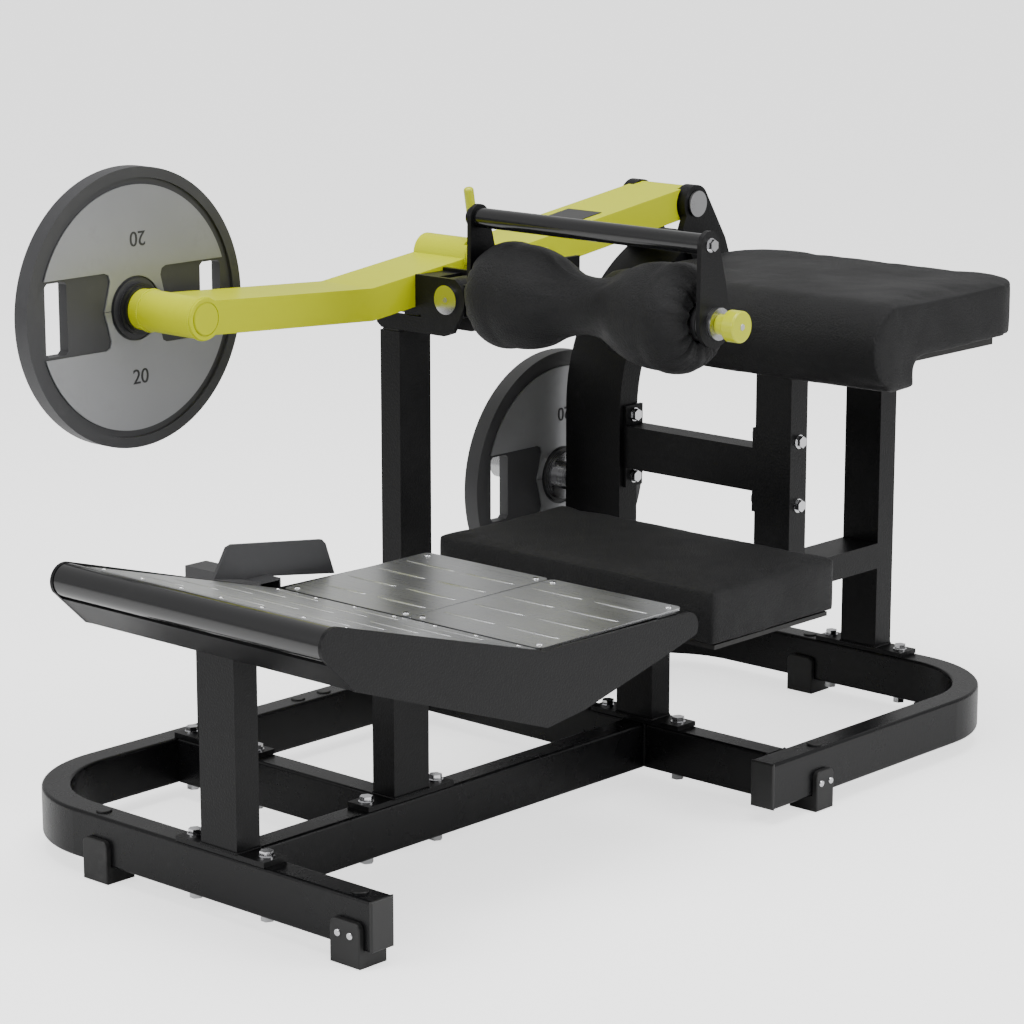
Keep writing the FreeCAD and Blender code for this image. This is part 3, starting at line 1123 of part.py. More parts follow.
# ---------------------------------------------------------------- pull knob on the shaft's end
KNOB_R = size("knob_radius")
knob_face = LINK + LINK_THICK + 9
neck = Part.makeCylinder(16, 18, V(knob_face + 0.3, AXIS_Y, AXIS_Z), V(1, 0, 0))
head = Part.makeCylinder(KNOB_R, 24, V(knob_face + 18.3, AXIS_Y, AXIS_Z), V(1, 0, 0))
head = head.makeFillet(3, [e for e in head.Edges if isinstance(e.Curve, Part.Circle)])
plunger = Part.makeCylinder(8.9, 8.6, V(LINK + LINK_THICK + 0.4, AXIS_Y, AXIS_Z), V(1, 0, 0))
group("pull_knob", [neck.fuse([head, plunger]).removeSplitter()])

# ---------------------------------------------------------------- lock bolt and its lever
bolt_right = LINK_LEFT + LINK_THICK + 4 - size("lock_travel")
bolt_left = LEVER_X - 60
rod = Part.makeCylinder(LOCK_R, bolt_right - bolt_left, V(bolt_left, ARM_END_Y, SLEEVE_Z), V(1, 0, 0))
guide = Part.makeCylinder(size("sleeve_bore") / 2 - 0.1, 70, V(LEVER_X - 35, ARM_END_Y, SLEEVE_Z), V(1, 0, 0))
tip = rod.makeChamfer(2.5, [e for e in rod.Edges if isinstance(e.Curve, Part.Circle) and e.CenterOfMass.x > bolt_right - 1])
LEAN = math.radians(10)
lever_axis = V(0, -math.sin(LEAN), math.cos(LEAN))
lever_foot = V(LEVER_X, ARM_END_Y, SLEEVE_Z) + lever_axis * (size("sleeve_bore") / 2 - 0.2)
lever_pin = Part.makeCylinder(4, 48, lever_foot - lever_axis * 2, lever_axis)
group("lock_bolt", [tip.fuse([guide, lever_pin]).removeSplitter()])
grip_foot = lever_foot + lever_axis * 34
grip = Part.makeCylinder(8.5, 80, grip_foot, lever_axis)
grip = grip.makeFillet(6, [e for e in grip.Edges if isinstance(e.Curve, Part.Circle)
                           and (e.CenterOfMass - grip_foot).Length > 40])
grip = grip.cut(Part.makeCylinder(4.05, 12.2, grip_foot, lever_axis))
group("lock_lever_grip", [grip])

# ---------------------------------------------------------------- check and write
doc.recompute()
for obj in doc.Objects:
    if any(word in obj.State for word in ("Invalid", "Error")):
        raise RuntimeError(f"{obj.Label} failed: {obj.State}")
os.makedirs("parts", exist_ok=True)
for old in os.listdir("parts"):
    if old.endswith(".step"):
        os.remove(os.path.join("parts", old))
for obj in parts:
    shape = obj.Shape
    if shape.isNull() or not shape.isValid() or not shape.Solids:
        raise RuntimeError(f"{obj.Label} has no valid solid")
    shape.exportStep(f"parts/{obj.Label}.step")
print(len(parts), "parts written")
box = Part.makeCompound([obj.Shape for obj in parts]).BoundBox
print("box", [round(v, 1) for v in (box.XMin, box.YMin, box.ZMin, box.XMax, box.YMax, box.ZMax)])
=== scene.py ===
"""Looks of the plate-loaded hip thrust machine: soft pads, plate faces, grip ribs, welds, materials,
floor, light and camera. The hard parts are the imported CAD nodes; everything else rides on their bodies."""
import json
import math

import bmesh
import bpy
from mathutils import Matrix, Vector, noise


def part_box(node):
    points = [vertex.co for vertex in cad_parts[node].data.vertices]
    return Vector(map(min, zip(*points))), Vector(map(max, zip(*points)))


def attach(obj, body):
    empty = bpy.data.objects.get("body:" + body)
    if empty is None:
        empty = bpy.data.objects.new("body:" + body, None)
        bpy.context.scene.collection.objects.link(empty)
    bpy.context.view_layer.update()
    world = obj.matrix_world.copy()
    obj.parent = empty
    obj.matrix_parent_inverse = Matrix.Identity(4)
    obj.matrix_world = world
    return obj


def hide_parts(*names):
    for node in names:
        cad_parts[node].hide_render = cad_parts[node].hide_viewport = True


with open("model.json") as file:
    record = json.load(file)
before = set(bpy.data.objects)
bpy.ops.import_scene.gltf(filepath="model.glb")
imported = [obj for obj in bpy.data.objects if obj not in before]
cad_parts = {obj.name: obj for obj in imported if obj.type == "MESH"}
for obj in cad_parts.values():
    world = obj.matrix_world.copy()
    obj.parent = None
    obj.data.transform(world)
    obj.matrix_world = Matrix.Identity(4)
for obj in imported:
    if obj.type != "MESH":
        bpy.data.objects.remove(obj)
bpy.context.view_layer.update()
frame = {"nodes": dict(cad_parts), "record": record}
nodes = frame["nodes"]
scene = bpy.context.scene


ORIGIN_X, ORIGIN_Y = 202.75, -773.35
LOAD_HORN = (391, 779)
STORAGE_HORN = (1288, 383)
ROLLER_LINE = (812, 796)


def place(x, y, z):
    """A point of the machine's own layout, in millimetres, as a point of the row frame."""
    return Vector(((x + ORIGIN_X) / 1000, (y + ORIGIN_Y) / 1000, z / 1000))


# ---------------------------------------------------------------- shader groups
def shader_group(name, inputs, outputs):
    tree = bpy.data.node_groups.new(name, "ShaderNodeTree")
    for label, kind, value in inputs:
        tree.interface.new_socket(label, in_out="INPUT", socket_type=kind).default_value = value
    for label, kind in outputs:
        tree.interface.new_socket(label, in_out="OUTPUT", socket_type=kind)
    return tree, tree.nodes.new("NodeGroupInput"), tree.nodes.new("NodeGroupOutput")


COLOUR, NUMBER, VECTOR = "NodeSocketColor", "NodeSocketFloat", "NodeSocketVector"


def add(tree, kind, links=(), **settings):
    """A node with its settings and its input links: (input name or index, output socket or value)."""
    node = tree.nodes.new(kind)
    for key, value in settings.items():
        setattr(node, key, value)
    for key, value in links:
        if isinstance(value, bpy.types.NodeSocket):
            tree.links.new(value, node.inputs[key])
        else:
            node.inputs[key].default_value = value
    return node


def coat_group():
    """Painted, moulded or cast surfaces: fine grain, uneven sheen, dust and rubbed patches."""
    tree, given, made = shader_group("coat", [
        ("Colour", COLOUR, (0.5, 0.5, 0.5, 1)), ("Worn Colour", COLOUR, (0.6, 0.6, 0.6, 1)),
        ("Roughness", NUMBER, 0.4), ("Uneven", NUMBER, 0.12), ("Wear", NUMBER, 0.2),
        ("Grain Scale", NUMBER, 900), ("Grain Height", NUMBER, 0.0002)],
        [("Colour", COLOUR), ("Roughness", NUMBER), ("Normal", VECTOR)])
    where = add(tree, "ShaderNodeTexCoord").outputs["Object"]
    grain = add(tree, "ShaderNodeTexNoise", [("Vector", where), ("Scale", given.outputs["Grain Scale"]),
                                             ("Detail", 3.0), ("Roughness", 0.6)])
    broad = add(tree, "ShaderNodeTexNoise", [("Vector", where), ("Scale", 9.0), ("Detail", 6.0),
                                             ("Roughness", 0.62)])
    spots = add(tree, "ShaderNodeTexNoise", [("Vector", where), ("Scale", 70.0), ("Detail", 5.0)])
    patch = add(tree, "ShaderNodeMapRange", [("Value", broad.outputs["Fac"]), ("From Min", 0.5),
                                             ("From Max", 0.78)])
    speck = add(tree, "ShaderNodeMapRange", [("Value", spots.outputs["Fac"]), ("From Min", 0.45),
                                             ("From Max", 0.75)])
    worn = add(tree, "ShaderNodeMath", [(0, patch.outputs["Result"]), (1, speck.outputs["Result"])],
               operation="MULTIPLY")
    amount = add(tree, "ShaderNodeMath", [(0, worn.outputs[0]), (1, given.outputs["Wear"])],
                 operation="MULTIPLY",
                 use_clamp=True)
    colour = add(tree, "ShaderNodeMix", [("Factor", amount.outputs[0]), (6, given.outputs["Colour"]),
                                         (7, given.outputs["Worn Colour"])], data_type="RGBA")
    offset = add(tree, "ShaderNodeMath", [(0, broad.outputs["Fac"]), (1, 0.5)], operation="SUBTRACT")
    swing = add(tree, "ShaderNodeMath", [(0, offset.outputs[0]), (1, given.outputs["Uneven"]),
                                         (2, given.outputs["Roughness"])],
                operation="MULTIPLY_ADD", use_clamp=True)
    bump = add(tree, "ShaderNodeBump", [("Strength", 1.0), ("Distance", given.outputs["Grain Height"]),
                                        ("Height", grain.outputs["Fac"])])
    tree.links.new(colour.outputs[2], made.inputs["Colour"])
    tree.links.new(swing.outputs[0], made.inputs["Roughness"])
    tree.links.new(bump.outputs["Normal"], made.inputs["Normal"])
    return tree


def brushed_group():
    """Sheet or turned metal with fine scratches drawn out along one direction."""
    tree, given, made = shader_group("brushed", [
        ("Colour", COLOUR, (0.7, 0.7, 0.7, 1)), ("Roughness", NUMBER, 0.3), ("Uneven", NUMBER, 0.25),
        ("Stretch", VECTOR, (3, 400, 400)), ("Scratch Height", NUMBER, 0.00004)],
        [("Colour", COLOUR), ("Roughness", NUMBER), ("Normal", VECTOR)])
    where = add(tree, "ShaderNodeTexCoord").outputs["Object"]
    drawn = add(tree, "ShaderNodeVectorMath", [(0, where), (1, given.outputs["Stretch"])],
                operation="MULTIPLY")
    lines = add(tree, "ShaderNodeTexNoise", [("Vector", drawn.outputs[0]), ("Scale", 1.0), ("Detail", 6.0),
                                             ("Roughness", 0.7)])
    cloud = add(tree, "ShaderNodeTexNoise", [("Vector", where), ("Scale", 5.0), ("Detail", 5.0)])
    offset = add(tree, "ShaderNodeMath", [(0, lines.outputs["Fac"]), (1, 0.5)], operation="SUBTRACT")
    swing = add(tree, "ShaderNodeMath", [(0, offset.outputs[0]), (1, given.outputs["Uneven"]),
                                         (2, given.outputs["Roughness"])],
                operation="MULTIPLY_ADD", use_clamp=True)
    tone = add(tree, "ShaderNodeMapRange", [("Value", cloud.outputs["Fac"]), ("From Min", 0.3),
                                            ("From Max", 0.7),
                                            ("To Min", 0.86), ("To Max", 1.0)])
    colour = add(tree, "ShaderNodeVectorMath", [(0, given.outputs["Colour"]),
                                                ("Scale", tone.outputs["Result"])],
                 operation="SCALE")
    bump = add(tree, "ShaderNodeBump", [("Strength", 1.0), ("Distance", given.outputs["Scratch Height"]),
                                        ("Height", lines.outputs["Fac"])])
    tree.links.new(colour.outputs[0], made.inputs["Colour"])
    tree.links.new(swing.outputs[0], made.inputs["Roughness"])
    tree.links.new(bump.outputs["Normal"], made.inputs["Normal"])
    return tree


def leather_group():
    """Grained vinyl: small rounded cells, softer folds and an uneven rubbed sheen."""
    tree, given, made = shader_group("grained_vinyl", [
        ("Colour", COLOUR, (0.02, 0.02, 0.02, 1)), ("Rubbed Colour", COLOUR, (0.05, 0.05, 0.05, 1)),
        ("Roughness", NUMBER, 0.55), ("Cell Scale", NUMBER, 330), ("Cell Height", NUMBER, 0.0008)],
        [("Colour", COLOUR), ("Roughness", NUMBER), ("Normal", VECTOR)])
    where = add(tree, "ShaderNodeTexCoord").outputs["Object"]
    twist = add(tree, "ShaderNodeTexNoise", [("Vector", where), ("Scale", 60.0), ("Detail", 4.0)])
    bent = add(tree, "ShaderNodeVectorMath", [(0, twist.outputs["Color"]), ("Scale", 0.008)],
               operation="SCALE")
    moved = add(tree, "ShaderNodeVectorMath", [(0, where), (1, bent.outputs[0])], operation="ADD")
    cells = add(tree, "ShaderNodeTexVoronoi", [("Vector", moved.outputs[0]),
                                               ("Scale", given.outputs["Cell Scale"])], feature="SMOOTH_F1")
    pores = add(tree, "ShaderNodeTexNoise", [("Vector", where), ("Scale", 1400.0), ("Detail", 3.0)])
    broad = add(tree, "ShaderNodeTexNoise", [("Vector", where), ("Scale", 7.0), ("Detail", 5.0)])
    height = add(tree, "ShaderNodeMath", [(0, cells.outputs["Distance"]), (1, -1.0),
                                          (2, pores.outputs["Fac"])],
                 operation="MULTIPLY_ADD")
    bump = add(tree, "ShaderNodeBump", [("Strength", 0.9), ("Distance", given.outputs["Cell Height"]),
                                        ("Height", height.outputs[0])])
    rub = add(tree, "ShaderNodeMapRange", [("Value", broad.outputs["Fac"]), ("From Min", 0.4),
                                           ("From Max", 0.75)])
    high = add(tree, "ShaderNodeMapRange", [("Value", cells.outputs["Distance"]), ("From Min", 0.1),
                                            ("From Max", 0.6), ("To Min", 1.0), ("To Max", 0.25)])
    factor = add(tree, "ShaderNodeMath", [(0, rub.outputs["Result"]), (1, high.outputs["Result"])],
                 operation="MULTIPLY")
    colour = add(tree, "ShaderNodeMix", [("Factor", factor.outputs[0]), (6, given.outputs["Colour"]),
                                         (7, given.outputs["Rubbed Colour"])], data_type="RGBA")
    sheen = add(tree, "ShaderNodeMath", [(0, rub.outputs["Result"]), (1, -0.1),
                                         (2, given.outputs["Roughness"])],
                operation="MULTIPLY_ADD")
    tree.links.new(colour.outputs[2], made.inputs["Colour"])
    tree.links.new(sheen.outputs[0], made.inputs["Roughness"])
    tree.links.new(bump.outputs["Normal"], made.inputs["Normal"])
    return tree


GROUPS = {"coat": coat_group(), "brushed": brushed_group(), "leather": leather_group()}


def material(name, group, values, **principled):
    """A Principled material whose colour, roughness and normal come from one of the shared groups."""
    made = bpy.data.materials.new(name)
    made.use_nodes = True
    tree = made.node_tree
    shader = tree.nodes["Principled BSDF"]
    effect = tree.nodes.new("ShaderNodeGroup")
    effect.node_tree = GROUPS[group]
    for key, value in values.items():
        socket = effect.inputs[key.replace("_", " ")]
        socket.default_value = (*value, 1.0) if socket.type == "RGBA" else value
    for key, value in principled.items():
        shader.inputs[key.replace("_", " ")].default_value = value
    tree.links.new(effect.outputs["Colour"], shader.inputs["Base Color"])
    tree.links.new(effect.outputs["Roughness"], shader.inputs["Roughness"])
    tree.links.new(effect.outputs["Normal"], shader.inputs["Normal"])
    return made


DUST = (0.10, 0.10, 0.10)
MATERIALS = {
    "base_paint": material("base_paint", "coat", {
        "Colour": (0.004, 0.004, 0.0045), "Worn_Colour": (0.018, 0.018,
                                                          0.019), "Roughness": 0.27, "Uneven": 0.14,
        "Wear": 0.5, "Grain_Scale": 420, "Grain_Height": 0.0003}, Specular_IOR_Level=0.26),
    "frame_paint": material("frame_paint", "coat", {
        "Colour": (0.004, 0.004, 0.0045), "Worn_Colour": (0.018, 0.018,
                                                          0.019), "Roughness": 0.36, "Uneven": 0.16,
        "Wear": 0.5, "Grain_Scale": 300, "Grain_Height": 0.0006}, Specular_IOR_Level=0.22),
    "arm_paint": material("arm_paint", "coat", {
        "Colour": (0.52, 0.56, 0.0), "Worn_Colour": (0.42, 0.45, 0.004), "Roughness": 0.36, "Uneven": 0.14,
        "Wear": 0.35, "Grain_Scale": 420, "Grain_Height": 0.0001}, Specular_IOR_Level=0.2),
    "toe_bar_paint": material("toe_bar_paint", "coat", {
        "Colour": (0.005, 0.005, 0.0055), "Worn_Colour": (0.02, 0.02,
                                                          0.02), "Roughness": 0.16, "Uneven": 0.08,
        "Wear": 0.3, "Grain_Scale": 160, "Grain_Height": 0.0001}, Coat_Weight=0.5, Coat_Roughness=0.08),
    "guard_paint": material("guard_paint", "coat", {
        "Colour": (0.030, 0.030, 0.032), "Worn_Colour": (0.06, 0.06,
                                                         0.06), "Roughness": 0.42, "Uneven": 0.15,
        "Wear": 0.4,
        "Grain_Scale": 800, "Grain_Height": 0.0002}),
    "deck_metal": material("deck_metal", "brushed", {
        "Colour": (0.72, 0.73, 0.74), "Roughness": 0.3, "Uneven": 0.3, "Stretch": (4, 500, 500),
        "Scratch_Height": 0.00005}, Metallic=1.0),
    "bright_metal": material("bright_metal", "brushed", {
        "Colour": (0.78, 0.78, 0.8), "Roughness": 0.14, "Uneven": 0.1, "Stretch": (120, 120, 120),
        "Scratch_Height": 0.00002}, Metallic=1.0),
    "steel": material("steel", "brushed", {
        "Colour": (0.5, 0.5, 0.51), "Roughness": 0.28, "Uneven": 0.2, "Stretch": (600, 12, 12),
        "Scratch_Height": 0.00004}, Metallic=1.0),
    "pad_vinyl": material("pad_vinyl", "leather", {
        "Colour": (0.005, 0.005, 0.0055), "Rubbed_Colour": (0.014, 0.014, 0.0145), "Roughness": 0.5,
        "Cell_Scale": 340, "Cell_Height": 0.0014}, Specular_IOR_Level=0.24),
    "board_wood": material("board_wood", "brushed", {
        "Colour": (0.008, 0.0075, 0.007), "Roughness": 0.6, "Uneven": 0.2, "Stretch": (8, 200, 200),
        "Scratch_Height": 0.0002}),
    "black_rubber": material("black_rubber", "coat", {
        "Colour": (0.009, 0.009, 0.009), "Worn_Colour": DUST, "Roughness": 0.55, "Uneven": 0.2, "Wear": 0.4,
        "Grain_Scale": 500, "Grain_Height": 0.0003}),
    "black_plastic": material("black_plastic", "coat", {
        "Colour": (0.008, 0.008, 0.008), "Worn_Colour": (0.04, 0.04,
                                                         0.04), "Roughness": 0.4, "Uneven": 0.15,
        "Wear": 0.4, "Grain_Scale": 900, "Grain_Height": 0.00015}),
    "plate_rubber": material("plate_rubber", "coat", {
        "Colour": (0.032, 0.032, 0.034), "Worn_Colour": (0.07, 0.07,
                                                         0.072), "Roughness": 0.42, "Uneven": 0.2,
        "Wear": 0.5, "Grain_Scale": 650, "Grain_Height": 0.0002}),
    "plate_face": material("plate_face", "coat", {
        "Colour": (0.30, 0.303, 0.31), "Worn_Colour": (0.2, 0.2, 0.205), "Roughness": 0.38, "Uneven": 0.18,
        "Wear": 0.5, "Grain_Scale": 1100, "Grain_Height": 0.00012}, Metallic=0.7),
    "plate_number": material("plate_number", "coat", {
        "Colour": (0.02, 0.02, 0.021), "Worn_Colour": DUST, "Roughness": 0.5, "Uneven": 0.1, "Wear": 0.3,
        "Grain_Scale": 900, "Grain_Height": 0.0001}),
    "knob_plastic": material("knob_plastic", "coat", {
        "Colour": (0.50, 0.54, 0.0), "Worn_Colour": (0.4, 0.43, 0.01), "Roughness": 0.3, "Uneven": 0.12,
        "Wear": 0.4, "Grain_Scale": 700, "Grain_Height": 0.0001}, Coat_Weight=0.2),
    "label_film": material("label_film", "coat", {
        "Colour": (0.008, 0.008, 0.008), "Worn_Colour": (0.05, 0.05, 0.05), "Roughness": 0.3, "Uneven": 0.1,
        "Wear": 0.3, "Grain_Scale": 1200, "Grain_Height": 0.00005}),
}
for entry in frame["record"]["subparts"]:
    for spot in nodes[entry["node"]].material_slots:
        spot.material = MATERIALS[entry["material_slot"]]


# ---------------------------------------------------------------- piece helpers
def piece(name, mesh, body, look, smooth=True):
    """A finished mesh as a piece that rides on a body and takes one of the record's finishes."""
    obj = bpy.data.objects.new(name, mesh)
    scene.collection.objects.link(obj)
    mesh.materials.clear()
    mesh.materials.append(MATERIALS[look])
    for face in mesh.polygons:
        face.use_smooth = smooth
    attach(obj, body)
    return obj


def evaluated_mesh(obj, name):
    bpy.context.view_layer.update()
    graph = bpy.context.evaluated_depsgraph_get()
    return bpy.data.meshes.new_from_object(obj.evaluated_get(graph), preserve_all_data_layers=False,
                                           depsgraph=graph)


def build(name, mesh, edit):
    """Run a bmesh edit on a mesh and write it back."""
    work = bmesh.new()
    work.from_mesh(mesh)
    edit(work)
    work.to_mesh(mesh)
    work.free()
    mesh.update()
    return mesh


def extruded(name, outline, low, high, bevel=0.0006):
    """A flat plate in the YZ plane: outline points (y, z) in metres, from x = low to x = high."""
    work = bmesh.new()
    face = work.faces.new([work.verts.new((low, y, z)) for y, z in outline])
    moved = bmesh.ops.extrude_face_region(work, geom=[face])
    for item in moved["geom"]:
        if isinstance(item, bmesh.types.BMVert):
            item.co.x = high
    bmesh.ops.recalc_face_normals(work, faces=work.faces)
    rims = [e for e in work.edges if e.is_manifold and e.calc_face_angle(0) > 1.2]
    bmesh.ops.bevel(work, geom=rims, offset=bevel, segments=2, affect="EDGES")
    mesh = bpy.data.meshes.new(name)
    work.to_mesh(mesh)
    work.free()
    return mesh


def joined(name, meshes):
    work = bmesh.new()
    for mesh in meshes:
        work.from_mesh(mesh)
    result = bpy.data.meshes.new(name)
    work.to_mesh(result)
    work.free()
    return result


# ---------------------------------------------------------------- pads
def cushion(name, node, body, voxel, cap, inset, soften, shape=None):
    """A stuffed pad from its CAD solid: remeshed, softened, swollen as cloth, capped and refined."""
    mesh = bpy.data.meshes.new_from_object(nodes[node])
    build(name, mesh, lambda work: bmesh.ops.remove_doubles(work, verts=work.verts, dist=1e-5))
    obj = bpy.data.objects.new(name + "_work", mesh)
    scene.collection.objects.link(obj)
    remesh = obj.modifiers.new("voxels", "REMESH")
    remesh.mode, remesh.voxel_size = "VOXEL", voxel
    smooth = obj.modifiers.new("soften", "SMOOTH")
    smooth.factor, smooth.iterations = 0.5, soften
    mesh = evaluated_mesh(obj, name)
    obj.modifiers.clear()
    obj.data = mesh
    normals = [v.normal.copy() for v in mesh.vertices]
    for vertex, normal in zip(mesh.vertices, normals):
        vertex.co -= normal * inset
    rest = [v.co.copy() for v in mesh.vertices]
    low = min(co.z for co in rest)
    cloth = obj.modifiers.new("swell", "CLOTH")
    cloth.settings.use_pressure = True
    cloth.settings.uniform_pressure_force = 4.0
    cloth.settings.tension_stiffness = 15
    cloth.settings.compression_stiffness = 15
    cloth.settings.effector_weights.gravity = 0.0
    cloth.point_cache.frame_start, cloth.point_cache.frame_end = 1, 20
    for step in range(1, 21):
        scene.frame_set(step)
    swollen = evaluated_mesh(obj, name)
    moves = [v.co - start for v, start in zip(swollen.vertices, rest)]
    drift = sum(moves, Vector()) / len(moves)
    for vertex, start, move in zip(mesh.vertices, rest, moves):
        move = move - drift
        if start.z < low + 0.006:
            move.z = 0.0
        if move.length > cap:
            move *= cap / move.length
        vertex.co = start + move
    obj.modifiers.clear()
    scene.frame_set(1)
    refine = obj.modifiers.new("refine", "SUBSURF")
    refine.levels = refine.render_levels = 1
    mesh = evaluated_mesh(obj, name)
    bpy.data.objects.remove(obj)
    if shape:
        normals = [v.normal.copy() for v in mesh.vertices]
        for vertex, normal in zip(mesh.vertices, normals):
            vertex.co += shape(vertex.co, normal)
    mesh.name = name
    made = piece(name, mesh, body, "pad_vinyl")
    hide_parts(node)
    return made


def dimple(co, normal):
    """Slow, shallow unevenness of a foam pad under vinyl."""
    return normal * (0.0012 * noise.noise(co * 9) + 0.0005 * noise.noise(co * 31))


ROLLER_AXIS = place(0, *ROLLER_LINE)


def roller_folds(co, normal):
    """Gathered pleats towards both ends of the roller and pull creases near its waist."""
    along = co.x - ROLLER_AXIS.x
    around = math.atan2(co.z - ROLLER_AXIS.z, co.y - ROLLER_AXIS.y)
    side = 1.0 if along > 0 else -1.0
    ends = min(max((abs(along) - 0.188) / 0.035, 0.0), 1.0)
    wander = 2.4 * noise.noise(Vector((math.cos(around) * 1.7, math.sin(around) * 1.7,
                                       side * 3 + along * 5)))
    pleat = abs(math.sin(7 * around + wander + side)) ** 0.7
    minor = abs(math.sin(12 * around + 1.6 * wander))
    depth = ends * (0.0038 * (1 - pleat) + 0.0016 * (1 - minor))
    waist = math.exp(-((abs(along) - 0.075) / 0.035) ** 2)
    crease = 0.0011 * waist * math.sin(70 * along + 2.5 * math.sin(2 * around) + 3 * wander)
    return normal * (crease - depth + 0.0006 * noise.noise(co * 24))


cushion("seat_cushion", "seat_pad", "machine_frame", 0.0065, 0.006, 0.002, 2, dimple)
cushion("back_cushion", "back_pad", "machine_frame", 0.0075, 0.006, 0.003, 5, dimple)
cushion("roller_cushion", "hip_roller_pad", "hip_roller", 0.0045, 0.004, 0.0025, 3, roller_folds)


# ---------------------------------------------------------------- weight plate faces
def arc(radius, start, end, steps):
    """Points along a circular arc, from one angle to another."""
    angles = [start + (end - start) * i / steps for i in range(steps + 1)]
    return [(radius * math.cos(angle), radius * math.sin(angle)) for angle in angles]


def plate_face(name, body, y, z, x_low, side):
    """Two metallic face halves that meet at the hub, and the plate's number, on one side of a plate."""
    reach, chord, hub_in = 0.197, 0.062, 0.052
    notch = [(0.064, 0.062), (0.056, 0.058), (0.053, 0.048), (0.058, 0.028), (0.066, 0.0004)]
    middle = place(0, y, z)
    start = math.asin(chord / reach)
    half = arc(reach, start, math.pi - start, 60) + [(-a, b) for a, b in notch]
    half += [(a, max(b, 0.0004)) for a, b in arc(hub_in, math.pi, 0, 32)] + list(reversed(notch))
    high = x_low + side * 0.0030
    halves = [extruded(name, [(middle.y + a * sign, middle.z + b * sign) for a, b in half], x_low, high)
              for sign in (1, -1)]
    piece(name, joined(name, halves), body, "plate_face", smooth=False)
    digits = []
    for sign in (1, -1):
        curve = bpy.data.curves.new(name + "_number", "FONT")
        curve.body, curve.size, curve.extrude = "20", 0.034, 0.0006
        curve.align_x = curve.align_y = "CENTER"
        text = bpy.data.objects.new(name + "_number", curve)
        scene.collection.objects.link(text)
        mesh = evaluated_mesh(text, name + "_digits")
        bpy.data.objects.remove(text)
        turn = Matrix.Rotation(math.pi / 2, 4, "X")
        face_out = Matrix.Rotation(side * math.pi / 2, 4, "Z")
        flip = Matrix.Rotation(math.pi if sign > 0 else 0, 4, "X")
        at = Matrix.Translation((high + side * 0.0002, middle.y + 0.006, middle.z + sign * 0.112))
        mesh.transform(at @ flip @ face_out @ turn)
        digits.append(mesh)
    piece(name + "_digits", joined(name + "_digits", digits), body, "plate_number", smooth=False)


FACE_RECESS = 0.005
for label, body, node, horn in (("load_plate", "loaded_plate", "load_weight_plate", LOAD_HORN),
                                ("store_plate", "stored_plate", "storage_weight_plate", STORAGE_HORN)):
    low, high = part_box(node)
    plate_face(label + "_face_right", body, *horn, high[0] - FACE_RECESS, 1)
    plate_face(label + "_face_left", body, *horn, low[0] + FACE_RECESS, -1)


# ---------------------------------------------------------------- repeated details
def geometry_tree(name, inputs):
    tree = bpy.data.node_groups.new(name, "GeometryNodeTree")
    tree.interface.new_socket("Geometry", in_out="INPUT", socket_type="NodeSocketGeometry")
    for label, kind, value in inputs:
        socket = tree.interface.new_socket(label, in_out="INPUT", socket_type=kind)
        if value is not None:
            socket.default_value = value
    tree.interface.new_socket("Geometry", in_out="OUTPUT", socket_type="NodeSocketGeometry")
    return tree, tree.nodes.new("NodeGroupInput"), tree.nodes.new("NodeGroupOutput")


def finish_tree(tree, given, made, instances):
    real = add(tree, "GeometryNodeRealizeInstances", [(0, instances)])
    coloured = add(tree, "GeometryNodeSetMaterial", [("Geometry", real.outputs[0]),
                                                     ("Material", given.outputs["Material"])])
    tree.links.new(coloured.outputs[0], made.inputs[0])
    return tree


def rib_tree():
    """A grid of raised grip ribs."""
    tree, given, made = geometry_tree("grip_ribs", [
        ("Columns", "NodeSocketInt", 2), ("Rows", "NodeSocketInt", 5), ("Width", NUMBER, 0.1),
        ("Depth", NUMBER, 0.1), ("Rib Size", VECTOR, (0.05, 0.004, 0.001)), ("Material",
                                                                             "NodeSocketMaterial", None)])
    grid = add(tree, "GeometryNodeMeshGrid", [("Size X", given.outputs["Width"]),
                                              ("Size Y", given.outputs["Depth"]),
                                              ("Vertices X", given.outputs["Columns"]),
                                              ("Vertices Y", given.outputs["Rows"])])
    ball = add(tree, "GeometryNodeMeshUVSphere", [("Segments", 20), ("Rings", 10), ("Radius", 1.0)])
    rib = add(tree, "GeometryNodeTransform", [("Geometry", ball.outputs[0]),
                                              ("Scale", given.outputs["Rib Size"])])
    spread = add(tree, "GeometryNodeInstanceOnPoints", [("Points", grid.outputs[0]),
                                                        ("Instance", rib.outputs[0])])
    return finish_tree(tree, given, made, spread.outputs[0])


def weld_tree():
    """A weld bead: overlapping drops set along every edge of the input."""
    tree, given, made = geometry_tree("weld_bead", [
        ("Pitch", NUMBER, 0.002), ("Bead Size", VECTOR, (0.003, 0.003, 0.003)),
        ("Material", "NodeSocketMaterial", None)])
    curve = add(tree, "GeometryNodeMeshToCurve", [(0, given.outputs["Geometry"])])
    points = add(tree, "GeometryNodeCurveToPoints", [("Curve", curve.outputs[0]),
                                                     ("Length", given.outputs["Pitch"])],
                 mode="LENGTH")
    ball = add(tree, "GeometryNodeMeshUVSphere", [("Segments", 10), ("Rings", 6), ("Radius", 1.0)])
    bead = add(tree, "GeometryNodeTransform", [("Geometry", ball.outputs[0]),
                                               ("Scale", given.outputs["Bead Size"])])
    spread = add(tree, "GeometryNodeInstanceOnPoints", [("Points", points.outputs["Points"]),
                                                        ("Instance", bead.outputs[0]),
                                                        ("Rotation", points.outputs["Rotation"])])
    return finish_tree(tree, given, made, spread.outputs[0])


TREES = {"grip_ribs": rib_tree(), "weld_bead": weld_tree()}


